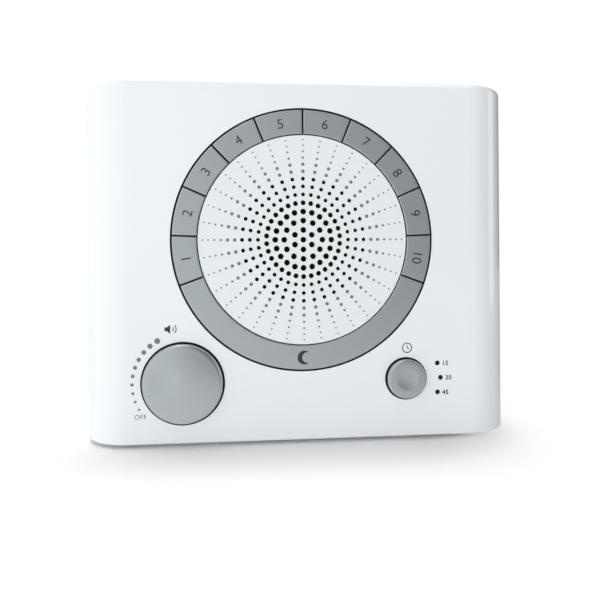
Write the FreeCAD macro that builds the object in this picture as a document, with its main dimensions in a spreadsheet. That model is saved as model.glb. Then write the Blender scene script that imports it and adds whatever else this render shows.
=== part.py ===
import FreeCAD
import Part
import math
import os
import Sketcher
from FreeCAD import Vector

# A bedside sound machine: a box with rounded upright edges, a round speaker grille inside a ring of keys,
# a volume knob and a timer button. Lengths are millimetres and angles are degrees.
# X is to the right seen from the front, Y runs from the front to the back and Z is up.
# The origin is on the floor, under the middle of the whole object.

# Driving sizes, one sheet cell each
SIZES = {
    # Case
    "case_wide": 184.0,
    "case_high": 151.0,
    "case_deep": 56.0,
    "case_wall": 2.5,
    "corner_round": 19.3,
    "back_round": 11.0,
    "top_round": 2.5,
    "base_round": 0.9,
    "shell_deep": 44.0,
    "foot_high": 1.5,
    "foot_radius": 6.0,
    "foot_inset": 22.0,
    # Ring of keys
    "dial_drop": 67.0,
    "key_radius": 54.75,
    "key_wide": 10.4,
    "key_step": 22.0,
    "key_split": 0.6,
    "ring_gap": 0.5,
    "disc_gap": 0.35,
    "key_proud": 0.4,
    "key_travel": 0.6,
    "key_lip": 1.6,
    "lip_thick": 1.2,
    "key_edge": 0.3,
    "post_wide": 3.0,
    "post_high": 2.9,
    # Grille frame
    "disc_thick": 2.0,
    "barrel_wall": 1.5,
    "flange_thick": 1.4,
    "flange_rim": 2.8,
    "seat_high": 2.0,
    "seat_wide": 2.6,
    "hole_step": 4.17,
    "hole_crowd": 0.072,
    "hole_radius": 1.15,
    "hole_middle": 1.0,
    "hole_small": 0.8,
    # Volume knob
    "knob_left": 50.4,
    "knob_drop": 59.15,
    "knob_radius": 16.6,
    "knob_gap": 0.6,
    "knob_proud": 4.5,
    "knob_dome": 1.9,
    "knob_skirt": 5.0,
    "dimple_out": 7.6,
    "dimple_angle": 165.0,
    "dimple_radius": 6.3,
    "dimple_deep": 1.0,
    "collar_wall": 1.2,
    "shaft_radius": 3.0,
    "shaft_fit": 0.05,
    "pot_radius": 8.2,
    "pot_high": 7.0,
    # Timer button and its lamps
    "timer_right": 43.55,
    "timer_drop": 59.35,
    "button_radius": 8.4,
    "button_gap": 0.6,
    "button_proud": 2.7,
    "button_dish": 4.6,
    "button_travel": 0.8,
    "lamp_arc": 15.2,
    "lamp_step": 24.2,
    "lamp_radius": 0.9,
    # Boards, switches and speaker
    "board_thick": 1.6,
    "board_wide": 132.0,
    "board_top": 36.0,
    "board_high": 40.0,
    "board_gap": 2.5,
    "switch_wide": 6.0,
    "switch_high": 3.5,
    "stem_wide": 2.6,
    "stem_high": 0.8,
    "speaker_radius": 30.4,
    "speaker_deep": 12.0,
    "magnet_radius": 17.5,
    "magnet_high": 8.0,
    "cap_radius": 7.3,
    "roll_thick": 0.8,
    "plug_wide": 20.0,
    "plug_high": 5.0,
    "chip_wide": 12.0,
    "chip_high": 1.6,
    "can_radius": 3.2,
    "can_high": 11.0,
    "can_step": 10.0,
    "lead_radius": 0.5,
    # Battery bay
    "bay_rise": 57.0,
    "cell_radius": 7.15,
    "cell_long": 50.4,
    "bay_slack": 0.8,
    "contact_room": 2.4,
    "bay_wall": 1.6,
    "door_thick": 2.2,
    "door_lap": 2.6,
    "door_pin": 0.6,
    "grip_radius": 6.5,
    "grip_deep": 0.5,
    "cell_nub": 1.2,
    "contact_thick": 0.4,
    # Power inlet
    "jack_right": 62.0,
    "jack_rise": 24.0,
    "jack_bore": 3.1,
    "jack_pin": 1.0,
    "jack_wide": 9.0,
    "jack_high": 11.0,
    "jack_deep": 12.5,
    "jack_hole_deep": 8.5,
    # Fasteners and clearances
    "screw_radius": 1.4,
    "screw_head": 2.6,
    "head_high": 1.6,
    "boss_radius": 3.6,
    "free_gap": 0.3,
    "thread_gap": 0.05,
    "tongue_deep": 2.0,
    "tongue_thick": 1.2,
}

KEY_COUNT = 10
RING_HOLES = (6, 12, 20, 30, 36, 36, 36)

os.makedirs("parts", exist_ok=True)
doc = FreeCAD.newDocument("sound_machine")
sheet = doc.addObject("Spreadsheet::Sheet", "Sizes")
for row, (alias, number) in enumerate(SIZES.items(), 1):
    sheet.set("A%d" % row, alias.replace("_", " "))
    sheet.set("B%d" % row, str(number))
    sheet.setAlias("B%d" % row, alias)
doc.recompute()


class Size:
    """A number with the sheet formula that gives it."""

    def __init__(self, value, formula):
        self.value = value
        self.formula = formula

    def __add__(self, other):
        other = as_size(other)
        return Size(self.value + other.value, "(%s + %s)" % (self.formula, other.formula))

    def __radd__(self, other):
        return as_size(other) + self

    def __sub__(self, other):
        other = as_size(other)
        return Size(self.value - other.value, "(%s - %s)" % (self.formula, other.formula))

    def __rsub__(self, other):
        return as_size(other) - self

    def __mul__(self, other):
        other = as_size(other)
        return Size(self.value * other.value, "(%s * %s)" % (self.formula, other.formula))

    def __rmul__(self, other):
        return as_size(other) * self

    def __truediv__(self, other):
        other = as_size(other)
        return Size(self.value / other.value, "(%s / %s)" % (self.formula, other.formula))

    def __neg__(self):
        return as_size(0) - self


def as_size(number):
    """The number itself if it is a Size, else a Size that holds a plain number."""
    if isinstance(number, Size):
        return number
    return Size(float(number), "(%r)" % float(number))


def cosine(angle):
    angle = as_size(angle)
    return Size(math.cos(math.radians(angle.value)), "cos(%s)" % angle.formula)


def sine(angle):
    angle = as_size(angle)
    return Size(math.sin(math.radians(angle.value)), "sin(%s)" % angle.formula)


def root(number):
    return Size(math.sqrt(number.value), "sqrt(%s)" % number.formula)


class Cells:
    """Gives each cell of the sheet as a Size, by its alias."""

    def __getattr__(self, alias):
        return Size(float(sheet.get(alias)), "Sizes." + alias)


s = Cells()

# Places worked out from the driving sizes. Depths are measured back from the front face.
front_y = (s.knob_proud - s.case_deep) / 2
case_top = s.foot_high + s.case_high
dial_z = case_top - s.dial_drop
knob_x = -s.knob_left
knob_z = dial_z - s.knob_drop
timer_x = s.timer_right
timer_z = dial_z - s.timer_drop

dial_hole = s.key_radius + s.ring_gap
key_inner = s.key_radius - s.key_wide
disc_radius = key_inner - s.disc_gap
lip_front = s.case_wall + s.free_gap
lip_back = lip_front + s.lip_thick
lip_inner = key_inner - s.key_lip * 0.7
lip_outer = s.key_radius + s.key_lip
key_middle = s.key_radius - s.key_wide / 2
post_back = lip_back + s.post_high
night_half = (360 - KEY_COUNT * s.key_step) / 2
night_centre = 270
first_key = night_centre - night_half - s.key_step / 2

barrel_outer = lip_inner - s.free_gap
barrel_inner = barrel_outer - s.barrel_wall
flange_front = lip_back + s.key_travel + s.free_gap
flange_back = flange_front + s.flange_thick
frame_boss_out = lip_outer + s.free_gap * 2 + s.boss_radius * 0.72
flange_outer = frame_boss_out + s.flange_rim
stem_front = post_back + s.key_travel + s.free_gap / 2
key_board_front = stem_front + s.stem_high + s.switch_high
key_board_back = key_board_front + s.board_thick
seat_back = s.disc_thick + s.seat_high
basket_rim = s.speaker_radius - s.seat_wide * 1.4
basket_neck = s.magnet_radius * 0.94

main_front = key_board_back + s.board_gap
main_back = main_front + s.board_thick
timer_stem_front = main_front - s.switch_high - s.stem_high
button_post_back = timer_stem_front - s.button_travel - s.free_gap / 2

bay_half = s.cell_long + s.contact_room
bay_high = s.cell_radius * 4 + s.bay_slack
bay_deep = s.cell_radius * 2 + s.bay_slack
door_front = s.case_deep - s.door_thick
bay_front = door_front - bay_deep

FRAME_SCREWS = (90, 210, 330)
BOARD_SCREWS = (30, 150, 270)
SPEAKER_SCREWS = (90, 210, 330)
NIGHT_POSTS = (-50, 0, 50)
NIGHT_LAMPS = (-25, 25)

nodes = {}


def bind(thing, name, size):
    """Ties one property of an object to the sheet."""
    thing.setExpression(name, as_size(size).formula)


def place(thing, x, y, z, turn=0, roll=0):
    """Ties an object's place to the sheet. Turn is about Y and roll is about X."""
    where = "; ".join(as_size(v).formula for v in (x, y, z))
    angles = "0; %s; %s" % (as_size(turn).formula, as_size(roll).formula)
    thing.setExpression("Placement", "create(<<placement>>; create(<<vector>>; %s); "
                        "create(<<rotation>>; %s))" % (where, angles))


def keep(thing, label):
    """Names an object as one of the finished pieces."""
    thing.Label = label
    nodes[label] = thing
    return thing


def new_body(name, x=0, z=0, turn=0):
    """A body whose own depth starts at the front face of the case."""
    body = doc.addObject("PartDesign::Body", name)
    place(body, x, front_y, z, turn)
    return body


def origin_plane(body, role):
    return next(item for item in body.Origin.OriginFeatures if item.Role == role)


def sketch_on(body, role, lift=0):
    sketch = body.newObject("Sketcher::SketchObject", body.Name + "_sketch")
    sketch.AttachmentSupport = [(origin_plane(body, role), "")]
    sketch.MapMode = "FlatFace"
    bind(sketch, "AttachmentOffset.Base.z", lift)
    return sketch


def front_sketch(body, depth):
    """A sketch seen from the front, at a depth behind the front face."""
    return sketch_on(body, "XZ_Plane", -as_size(depth))


def plan_sketch(body, height):
    """A sketch seen from above, at a height."""
    return sketch_on(body, "XY_Plane", height)


def add_rules(sketch, rules):
    """Adds constraints, and ties each one that has a size to the sheet."""
    first = sketch.ConstraintCount
    sketch.addConstraint([rule for rule, size in rules])
    for number, (rule, size) in enumerate(rules, first):
        if size is not None:
            sketch.setExpression("Constraints[%d]" % number, size.formula)


def arc_between(a, b, radius):
    """The short arc from a to b, turning left for a positive radius and right for a negative one."""
    chord = b - a
    half = chord.Length / 2
    side = Vector(-chord.y, chord.x, 0).normalize()
    away = math.sqrt(max(radius * radius - half * half, 0))
    centre = (a + b) * 0.5 + side * math.copysign(away, radius)
    start, end = (a, b) if radius > 0 else (b, a)
    first = math.atan2(start.y - centre.y, start.x - centre.x)
    last = math.atan2(end.y - centre.y, end.x - centre.x)
    return Part.ArcOfCircle(Part.Circle(centre, Vector(0, 0, 1), abs(radius)), first, last)


def outline(sketch, points):
    """Draws a closed outline. A point's third number is the signed radius of the arc to the next point."""
    points = [tuple(as_size(value) for value in point) for point in points]
    first = sketch.GeometryCount
    edges = []
    ends = []
    for here, there in zip(points, points[1:] + points[:1]):
        a = Vector(here[0].value, here[1].value, 0)
        b = Vector(there[0].value, there[1].value, 0)
        if len(here) == 2:
            edges.append(Part.LineSegment(a, b))
            ends.append((1, 2))
        else:
            edges.append(arc_between(a, b, here[2].value))
            ends.append((1, 2) if here[2].value > 0 else (2, 1))
    sketch.addGeometry(edges)
    rules = []
    for number, point in enumerate(points):
        here = first + number
        after = (number + 1) % len(points)
        start, end = ends[number]
        rules.append((Sketcher.Constraint("Coincident", here, end, first + after, ends[after][0]), None))
        rules.append((Sketcher.Constraint("DistanceX", -1, 1, here, start, point[0].value), point[0]))
        rules.append((Sketcher.Constraint("DistanceY", -1, 1, here, start, point[1].value), point[1]))
        if len(point) == 3:
            radius = point[2] if point[2].value > 0 else -point[2]
            rules.append((Sketcher.Constraint("Radius", here, radius.value), radius))
    add_rules(sketch, rules)


def circle(sketch, x, y, radius):
    x, y, radius = as_size(x), as_size(y), as_size(radius)
    number = sketch.addGeometry(Part.Circle(Vector(x.value, y.value, 0), Vector(0, 0, 1), radius.value))
    add_rules(sketch, [
        (Sketcher.Constraint("Radius", number, radius.value), radius),
        (Sketcher.Constraint("DistanceX", -1, 1, number, 3, x.value), x),
        (Sketcher.Constraint("DistanceY", -1, 1, number, 3, y.value), y),
    ])


def rectangle(sketch, x_low, x_high, y_low, y_high):
    outline(sketch, [(x_low, y_low), (x_high, y_low), (x_high, y_high), (x_low, y_high)])


def faces_front(sketch):
    return sketch.AttachmentSupport[0][0].Role == "XZ_Plane"


def pad(body, sketch, length):
    """Adds material from the sketch, back, up or to the right."""
    feature = body.newObject("PartDesign::Pad", body.Name + "_pad")
    feature.Profile = sketch
    bind(feature, "Length", length)
    feature.Reversed = faces_front(sketch)
    return feature


def pocket(body, sketch, length):
    """Cuts from the sketch, back, up or to the right, and makes sure that something was cut."""
    doc.recompute()
    before = body.Tip.Shape.Volume
    feature = body.newObject("PartDesign::Pocket", body.Name + "_pocket")
    feature.Profile = sketch
    bind(feature, "Length", length)
    feature.Reversed = not faces_front(sketch)
    doc.recompute()
    if not feature.Shape.Volume < before:
        raise RuntimeError("%s cuts nothing" % feature.Name)
    return feature


def turned(body, points):
    """Turns an outline of radius and depth about the body's Y axis."""
    sketch = sketch_on(body, "XY_Plane")
    outline(sketch, points)
    feature = body.newObject("PartDesign::Revolution", body.Name + "_turned")
    feature.Profile = sketch
    feature.ReferenceAxis = (sketch, ["V_Axis"])
    feature.Angle = 360
    return feature


def round_edges(body, radius, chosen):
    """Rounds the edges of the newest feature whose box the test accepts."""
    doc.recompute()
    base = body.Tip
    names = ["Edge%d" % number for number, edge in enumerate(base.Shape.Edges, 1) if chosen(edge.BoundBox)]
    if not names:
        raise RuntimeError("%s has no such edges" % body.Name)
    feature = body.newObject("PartDesign::Fillet", body.Name + "_fillet")
    feature.Base = (base, names)
    bind(feature, "Radius", radius)
    return feature


def bevel_edges(body, size, chosen):
    """Bevels the edges of the newest feature whose box the test accepts."""
    doc.recompute()
    base = body.Tip
    names = ["Edge%d" % number for number, edge in enumerate(base.Shape.Edges, 1) if chosen(edge.BoundBox)]
    if not names:
        raise RuntimeError("%s has no such edges" % body.Name)
    feature = body.newObject("PartDesign::Chamfer", body.Name + "_bevel")
    feature.Base = (base, names)
    bind(feature, "Size", size)
    return feature


def near(a, b):
    return abs(a - as_size(b).value) < 1e-4


def polar(radius, angle):
    return as_size(radius) * cosine(angle), as_size(radius) * sine(angle)


def block(name, x, depth, z):
    """A plain block between pairs of limits. Its depths are from the front face."""
    solid = doc.addObject("Part::Box", name)
    for size_name, (low, high) in (("Length", x), ("Width", depth), ("Height", z)):
        bind(solid, size_name, as_size(high) - low)
    place(solid, x[0], front_y + depth[0], z[0])
    return solid


def rod(name, x, z, radius, depth):
    """A round rod from the front towards the back."""
    solid = doc.addObject("Part::Cylinder", name)
    bind(solid, "Radius", radius)
    bind(solid, "Height", as_size(depth[1]) - depth[0])
    place(solid, x, front_y + depth[0], z, roll=-90)
    return solid


def group(label, solids):
    """One piece's node that holds several separate solids."""
    compound = doc.addObject("Part::Compound", label)
    compound.Links = solids
    return keep(compound, label)


def screw(name, x, z, seat, length, head=None):
    """A pan-head screw that points to the front, with its head behind the seat."""
    head = s.screw_head if head is None else head
    body = new_body(name, x, z)
    turned(body, [
        (0, seat - length), (s.screw_radius, seat - length), (s.screw_radius, seat),
        (head, seat), (head * 0.8, seat + s.head_high), (0, seat + s.head_high),
    ])
    return body


def case_bosses():
    """The four places where screws hold the rear cover."""
    across = s.case_wide / 2 - s.corner_round
    low = s.foot_high + s.case_wall + s.boss_radius * 2.2
    high = case_top - s.case_wall - s.boss_radius * 2.2
    return [(side * across, height) for side in (-1, 1) for height in (low, high)]


def board_posts():
    """The four places that carry the main board."""
    edge = s.boss_radius * 0.9
    inner = s.board_wide * 0.19
    outer = s.board_wide / 2 - edge
    low = dial_z - s.board_top - s.board_high + edge
    high = dial_z - s.board_top - edge
    return [(-inner, low), (inner, low), (-outer, high), (outer, high)]


def ring_points(radius, angles):
    return [polar(radius, angle) for angle in angles]


def lamp_points():
    """The three timer lamps, on an arc about the timer button."""
    return [(timer_x + s.lamp_arc * cosine(step * s.lamp_step),
             timer_z + s.lamp_arc * sine(step * s.lamp_step)) for step in (1, 0, -1)]


# Front housing: an open box with rounded upright edges
def make_front_housing():
    body = new_body("front_housing")
    half = s.case_wide / 2
    flat = half - s.corner_round
    wall = s.case_wall

    outer = plan_sketch(body, s.foot_high)
    outline(outer, [
        (-half, s.shell_deep), (-half, s.corner_round, s.corner_round), (-flat, 0),
        (flat, 0, s.corner_round), (half, s.corner_round), (half, s.shell_deep),
    ])
    pad(body, outer, s.case_high)
    split = s.shell_deep.value
    round_edges(body, s.top_round,
                lambda box: near(box.ZMin, case_top) and near(box.ZMax, case_top) and box.YMin < split - 1)
    round_edges(body, s.base_round,
                lambda box: near(box.ZMin, s.foot_high) and near(box.ZMax, s.foot_high)
                and box.YMin < split - 1)

    inner = plan_sketch(body, s.foot_high + wall)
    outline(inner, [
        (wall - half, s.shell_deep), (wall - half, s.corner_round, s.corner_round - wall), (-flat, wall),
        (flat, wall, s.corner_round - wall), (half - wall, s.corner_round), (half - wall, s.shell_deep),
    ])
    pocket(body, inner, s.case_high - wall * 2)

    collar = front_sketch(body, wall * 0.8)
    circle(collar, knob_x, knob_z, s.knob_radius + s.knob_gap + s.collar_wall)
    pad(body, collar, s.knob_skirt - wall * 0.8)

    screw_posts = front_sketch(body, wall * 0.8)
    for x, z in case_bosses():
        circle(screw_posts, x, z, s.boss_radius)
    pad(body, screw_posts, s.shell_deep - wall * 0.8)

    frame_posts = front_sketch(body, wall * 0.8)
    for x, z in ring_points(frame_boss_out, FRAME_SCREWS):
        circle(frame_posts, x, dial_z + z, s.boss_radius * 0.72)
    pad(body, frame_posts, flange_front - wall * 0.8)

    low_posts = front_sketch(body, wall * 0.8)
    for x, z in board_posts():
        circle(low_posts, x, z, s.boss_radius * 0.72)
    pad(body, low_posts, main_front - wall * 0.8)

    openings = front_sketch(body, -1)
    circle(openings, 0, dial_z, dial_hole)
    circle(openings, knob_x, knob_z, s.knob_radius + s.knob_gap)
    circle(openings, timer_x, timer_z, s.button_radius + s.button_gap)
    for x, z in lamp_points():
        circle(openings, x, z, s.lamp_radius + s.free_gap / 3)
    pocket(body, openings, s.knob_skirt + 2)

    pilots = front_sketch(body, flange_front - s.free_gap * 7)
    for x, z in ring_points(frame_boss_out, FRAME_SCREWS):
        circle(pilots, x, dial_z + z, s.screw_radius + s.thread_gap)
    for x, z in case_bosses() + board_posts():
        circle(pilots, x, z, s.screw_radius + s.thread_gap)
    pocket(body, pilots, s.shell_deep)
    keep(body, "front_housing")


# Rear cover: the last part of the case, with the battery bay moulded in it
def wall_frame(sketch, inset, thick):
    """A frame that follows the inside of the case walls, at an inset from the outside."""
    half = s.case_wide / 2
    rectangle(sketch, inset - half, half - inset, s.foot_high + inset, case_top - inset)
    inset = inset + thick
    rectangle(sketch, inset - half, half - inset, s.foot_high + inset, case_top - inset)


def make_rear_cover():
    body = new_body("rear_cover")
    half = s.case_wide / 2
    flat = half - s.back_round
    wall = s.case_wall
    deep = s.case_deep
    rim = deep - s.back_round

    outer = plan_sketch(body, s.foot_high)
    outline(outer, [
        (-half, s.shell_deep), (half, s.shell_deep), (half, rim, s.back_round), (flat, deep),
        (-flat, deep, s.back_round), (-half, rim),
    ])
    pad(body, outer, s.case_high)
    split = s.shell_deep.value
    round_edges(body, s.top_round,
                lambda box: near(box.ZMin, case_top) and near(box.ZMax, case_top) and box.YMax > split + 1)
    round_edges(body, s.base_round,
                lambda box: near(box.ZMin, s.foot_high) and near(box.ZMax, s.foot_high)
                and box.YMax > split + 1)

    inner = plan_sketch(body, s.foot_high + wall)
    outline(inner, [
        (wall - half, s.shell_deep), (half - wall, s.shell_deep), (half - wall, rim, s.back_round - wall),
        (flat, deep - wall), (-flat, deep - wall, s.back_round - wall), (wall - half, rim),
    ])
    pocket(body, inner, s.case_high - wall * 2)

    tongue = front_sketch(body, s.shell_deep - s.tongue_deep)
    wall_frame(tongue, wall + s.free_gap / 2, s.tongue_thick)
    pad(body, tongue, s.tongue_deep + s.tongue_thick)
    root_rib = front_sketch(body, s.shell_deep)
    wall_frame(root_rib, wall * 0.8, s.tongue_thick + s.free_gap / 2 + wall * 0.2)
    pad(body, root_rib, s.tongue_thick)

    bosses = front_sketch(body, s.shell_deep)
    for x, z in case_bosses():
        circle(bosses, x, z, s.boss_radius)
    pad(body, bosses, deep - wall * 0.8 - s.shell_deep)

    low, high = s.bay_rise - bay_high / 2, s.bay_rise + bay_high / 2
    bay = front_sketch(body, bay_front - s.bay_wall)
    rectangle(bay, -bay_half - s.bay_wall, bay_half + s.bay_wall, low - s.bay_wall, high + s.bay_wall)
    pad(body, bay, deep - wall * 0.8 - bay_front + s.bay_wall)
    lap = s.door_lap + s.free_gap
    seat = front_sketch(body, door_front - s.bay_wall)
    rectangle(seat, -bay_half - lap - wall, bay_half + lap + wall, low - lap - wall, high + lap + wall)
    pad(body, seat, deep - wall * 0.8 - door_front + s.bay_wall)

    hollow = front_sketch(body, bay_front)
    rectangle(hollow, -bay_half, bay_half, low, high)
    pocket(body, hollow, deep - bay_front + 1)
    rebate = front_sketch(body, door_front - s.thread_gap)
    rectangle(rebate, -bay_half - lap, bay_half + lap, low - lap, high + lap)
    pocket(body, rebate, s.door_thick + s.thread_gap + 1)

    hinge = sketch_on(body, "YZ_Plane", -(bay_half + lap + wall * 0.7))
    circle(hinge, deep - s.door_thick / 2, low - s.door_lap + s.door_thick / 2, s.door_pin + s.free_gap / 2)
    pocket(body, hinge, (bay_half + lap + wall * 0.7) * 2)

    head_seat = (s.shell_deep + deep) / 2 - s.head_high
    heads = front_sketch(body, head_seat)
    for x, z in case_bosses():
        circle(heads, x, z, s.screw_head + s.free_gap)
    pocket(body, heads, deep - head_seat + 1)
    holes = front_sketch(body, s.shell_deep - 1)
    for x, z in case_bosses():
        circle(holes, x, z, s.screw_radius + s.free_gap / 2)
    circle(holes, s.jack_right, s.jack_rise, s.jack_bore + s.case_wall * 0.4 + s.free_gap)
    pocket(body, holes, deep - s.shell_deep + 2)
    keep(body, "rear_cover")
    group("case_screws", [screw("case_screw_%d" % number, x, z, head_seat, head_seat - s.shell_deep + 10)
                          for number, (x, z) in enumerate(case_bosses(), 1)])


# Rubber feet
def make_feet():
    across = s.case_wide / 2 - s.foot_inset
    solids = []
    for side in (-1, 1):
        for depth in (s.foot_inset * 0.7, s.case_deep - s.foot_inset * 0.5):
            foot = doc.addObject("Part::Cylinder", "foot")
            bind(foot, "Radius", s.foot_radius)
            bind(foot, "Height", s.foot_high)
            place(foot, side * across, front_y + depth, 0)
            solids.append(foot)
    group("rubber_feet", solids)


# Grille frame: a perforated disc on a barrel, with a flange that guides and stops the keys
def hole_ring(number):
    """The radius of one ring of grille holes. The rings draw closer together outwards."""
    return s.hole_step * number - s.hole_crowd * (number * number)


def ring_hole_radius(number):
    if number <= 3:
        return s.hole_radius
    return s.hole_middle if number == 4 else s.hole_small


def hole_prism(x, z, radius):
    """A six-sided rod that cuts one grille hole."""
    prism = doc.addObject("Part::Prism", "grille_hole")
    prism.Polygon = 6
    bind(prism, "Circumradius", radius)
    bind(prism, "Height", s.disc_thick + 2)
    place(prism, x, front_y - 1, dial_z + z, roll=-90)
    return prism


def make_grille_frame():
    last = len(RING_HOLES)
    field = hole_ring(last) + ring_hole_radius(last) + s.free_gap * 2

    prisms = [hole_prism(0, 0, s.hole_radius)]
    for number, count in enumerate(RING_HOLES, 1):
        start = 90.0 if number in (1, 4) else 0.0
        for step in range(count):
            x, z = polar(hole_ring(number), start + 360.0 * step / count)
            prisms.append(hole_prism(x, z, ring_hole_radius(number)))
    holes = doc.addObject("Part::Compound", "grille_holes")
    holes.Links = prisms
    disc = doc.addObject("Part::Cut", "perforated_disc")
    disc.Base = rod("grille_disc", 0, dial_z, field, (as_size(0), s.disc_thick))
    disc.Tool = holes

    barrel = new_body("grille_barrel", 0, dial_z)
    turned(barrel, [
        (field, 0), (disc_radius, 0), (disc_radius, s.case_wall), (barrel_outer, s.case_wall),
        (barrel_outer, flange_front), (flange_outer, flange_front), (flange_outer, flange_back),
        (barrel_outer, flange_back), (barrel_outer, key_board_front), (barrel_inner, key_board_front),
        (barrel_inner, s.disc_thick), (field, s.disc_thick),
    ])
    speaker_posts = front_sketch(barrel, s.disc_thick * 0.8)
    for x, z in ring_points(speaker_screw_out(), SPEAKER_SCREWS):
        circle(speaker_posts, x, z, s.boss_radius * 0.72)
    pad(barrel, speaker_posts, seat_back + s.board_thick * 0.6 - s.disc_thick * 0.8)
    board_posts_sketch = front_sketch(barrel, flange_back - s.flange_thick * 0.2)
    for x, z in ring_points(board_screw_out(), BOARD_SCREWS):
        circle(board_posts_sketch, x, z, s.boss_radius * 0.6)
    pad(barrel, board_posts_sketch, key_board_front - flange_back + s.flange_thick * 0.2)

    windows = front_sketch(barrel, flange_front - s.free_gap)
    for angle in key_angles() + [as_size(night_centre + turn) for turn in NIGHT_POSTS]:
        post_corners(windows, angle, s.post_wide / 2 + s.free_gap)
    for turn in NIGHT_LAMPS:
        x, z = polar(key_middle, night_centre + turn)
        circle(windows, x, z, s.switch_wide / 2)
    for x, z in ring_points(frame_boss_out, FRAME_SCREWS):
        circle(windows, x, z, s.screw_radius + s.free_gap / 2)
    circle(windows, knob_x, -s.knob_drop, s.knob_radius + s.knob_gap + s.collar_wall + s.free_gap)
    pocket(barrel, windows, s.flange_thick + s.free_gap * 2)

    pilots = front_sketch(barrel, s.disc_thick)
    for x, z in ring_points(speaker_screw_out(), SPEAKER_SCREWS):
        circle(pilots, x, z, s.screw_radius * 0.8 + s.thread_gap)
    pocket(barrel, pilots, seat_back + 2)
    board_pilots = front_sketch(barrel, flange_back - s.flange_thick * 0.3)
    for x, z in ring_points(board_screw_out(), BOARD_SCREWS):
        circle(board_pilots, x, z, s.screw_radius * 0.8 + s.thread_gap)
    pocket(barrel, board_pilots, key_board_front)

    seat = new_body("speaker_seat", 0, dial_z)
    seat_inner = basket_rim + s.free_gap * 2
    turned(seat, [
        (seat_inner, s.disc_thick * 0.8), (seat_inner + s.seat_wide, s.disc_thick * 0.8),
        (seat_inner + s.seat_wide, seat_back), (seat_inner, seat_back),
    ])

    frame = doc.addObject("Part::MultiFuse", "grille_frame")
    frame.Shapes = [disc, barrel, seat]
    keep(frame, "grille_frame")

    group("frame_screws", [
        screw("frame_screw_%d" % angle, x, dial_z + z, flange_back, flange_back - s.case_wall * 1.2)
        for angle, (x, z) in zip(FRAME_SCREWS, ring_points(frame_boss_out, FRAME_SCREWS))])


def post_corners(sketch, angle, half):
    """The square section of a key's post, turned with the key."""
    x, z = polar(key_middle, angle)
    along_x, along_z = half * cosine(angle), half * sine(angle)
    outline(sketch, [
        (x + along_x + along_z, z + along_z - along_x), (x + along_x - along_z, z + along_z + along_x),
        (x - along_x - along_z, z - along_z + along_x), (x - along_x + along_z, z - along_z - along_x),
    ])


def speaker_screw_out():
    return s.speaker_radius + s.boss_radius * 0.72 + s.free_gap * 2


def board_screw_out():
    return key_middle + s.switch_wide / 2 + s.boss_radius * 0.6 + s.free_gap


def key_angles():
    return [first_key - s.key_step * number for number in range(KEY_COUNT)]


# Keys: ring sectors with a lip behind the housing and square posts over the switches
def sector(sketch, inner, outer, half):
    """A ring sector about the X direction, cut back by half the split on each straight side."""
    split = s.key_split / 2
    reach_in = root(inner * inner - split * split)
    reach_out = root(outer * outer - split * split)
    across, up = cosine(half), sine(half)
    outline(sketch, [
        (reach_in * across + split * up, split * across - reach_in * up),
        (reach_out * across + split * up, split * across - reach_out * up, outer),
        (reach_out * across + split * up, reach_out * up - split * across),
        (reach_in * across + split * up, reach_in * up - split * across, -inner),
    ])


def make_key(label, centre, half, posts):
    body = new_body(label, 0, dial_z, turn=-as_size(centre))
    cap = front_sketch(body, -s.key_proud)
    sector(cap, key_inner, s.key_radius, half)
    pad(body, cap, s.key_proud + lip_front)
    lip = front_sketch(body, lip_front)
    sector(lip, lip_inner, lip_outer, half)
    pad(body, lip, s.lip_thick)
    legs = front_sketch(body, lip_back - s.lip_thick * 0.3)
    for turn in posts:
        post_corners(legs, turn, s.post_wide / 2)
    pad(body, legs, s.post_high + s.lip_thick * 0.3)
    bevel_edges(body, s.key_edge, lambda box: near(box.YMin, -s.key_proud) and near(box.YMax, -s.key_proud))
    keep(body, label)


def make_keys():
    for number, angle in enumerate(key_angles(), 1):
        make_key("sound_key_%d" % number, angle, s.key_step / 2, (0,))
    make_key("night_light_key", night_centre, night_half, NIGHT_POSTS)


# Key board: a ring-shaped board that carries one switch under each post
def tact_switch(name, x, z, board, turn=0):
    """A square switch with a small stem, standing on the front of a board."""
    body = new_body(name, x, z, turn)
    base = front_sketch(body, board - s.switch_high)
    half = s.switch_wide / 2
    rectangle(base, -half, half, -half, half)
    pad(body, base, s.switch_high)
    stem = front_sketch(body, board - s.switch_high - s.stem_high)
    half = s.stem_wide / 2
    rectangle(stem, -half, half, -half, half)
    pad(body, stem, s.stem_high)
    return body


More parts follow.
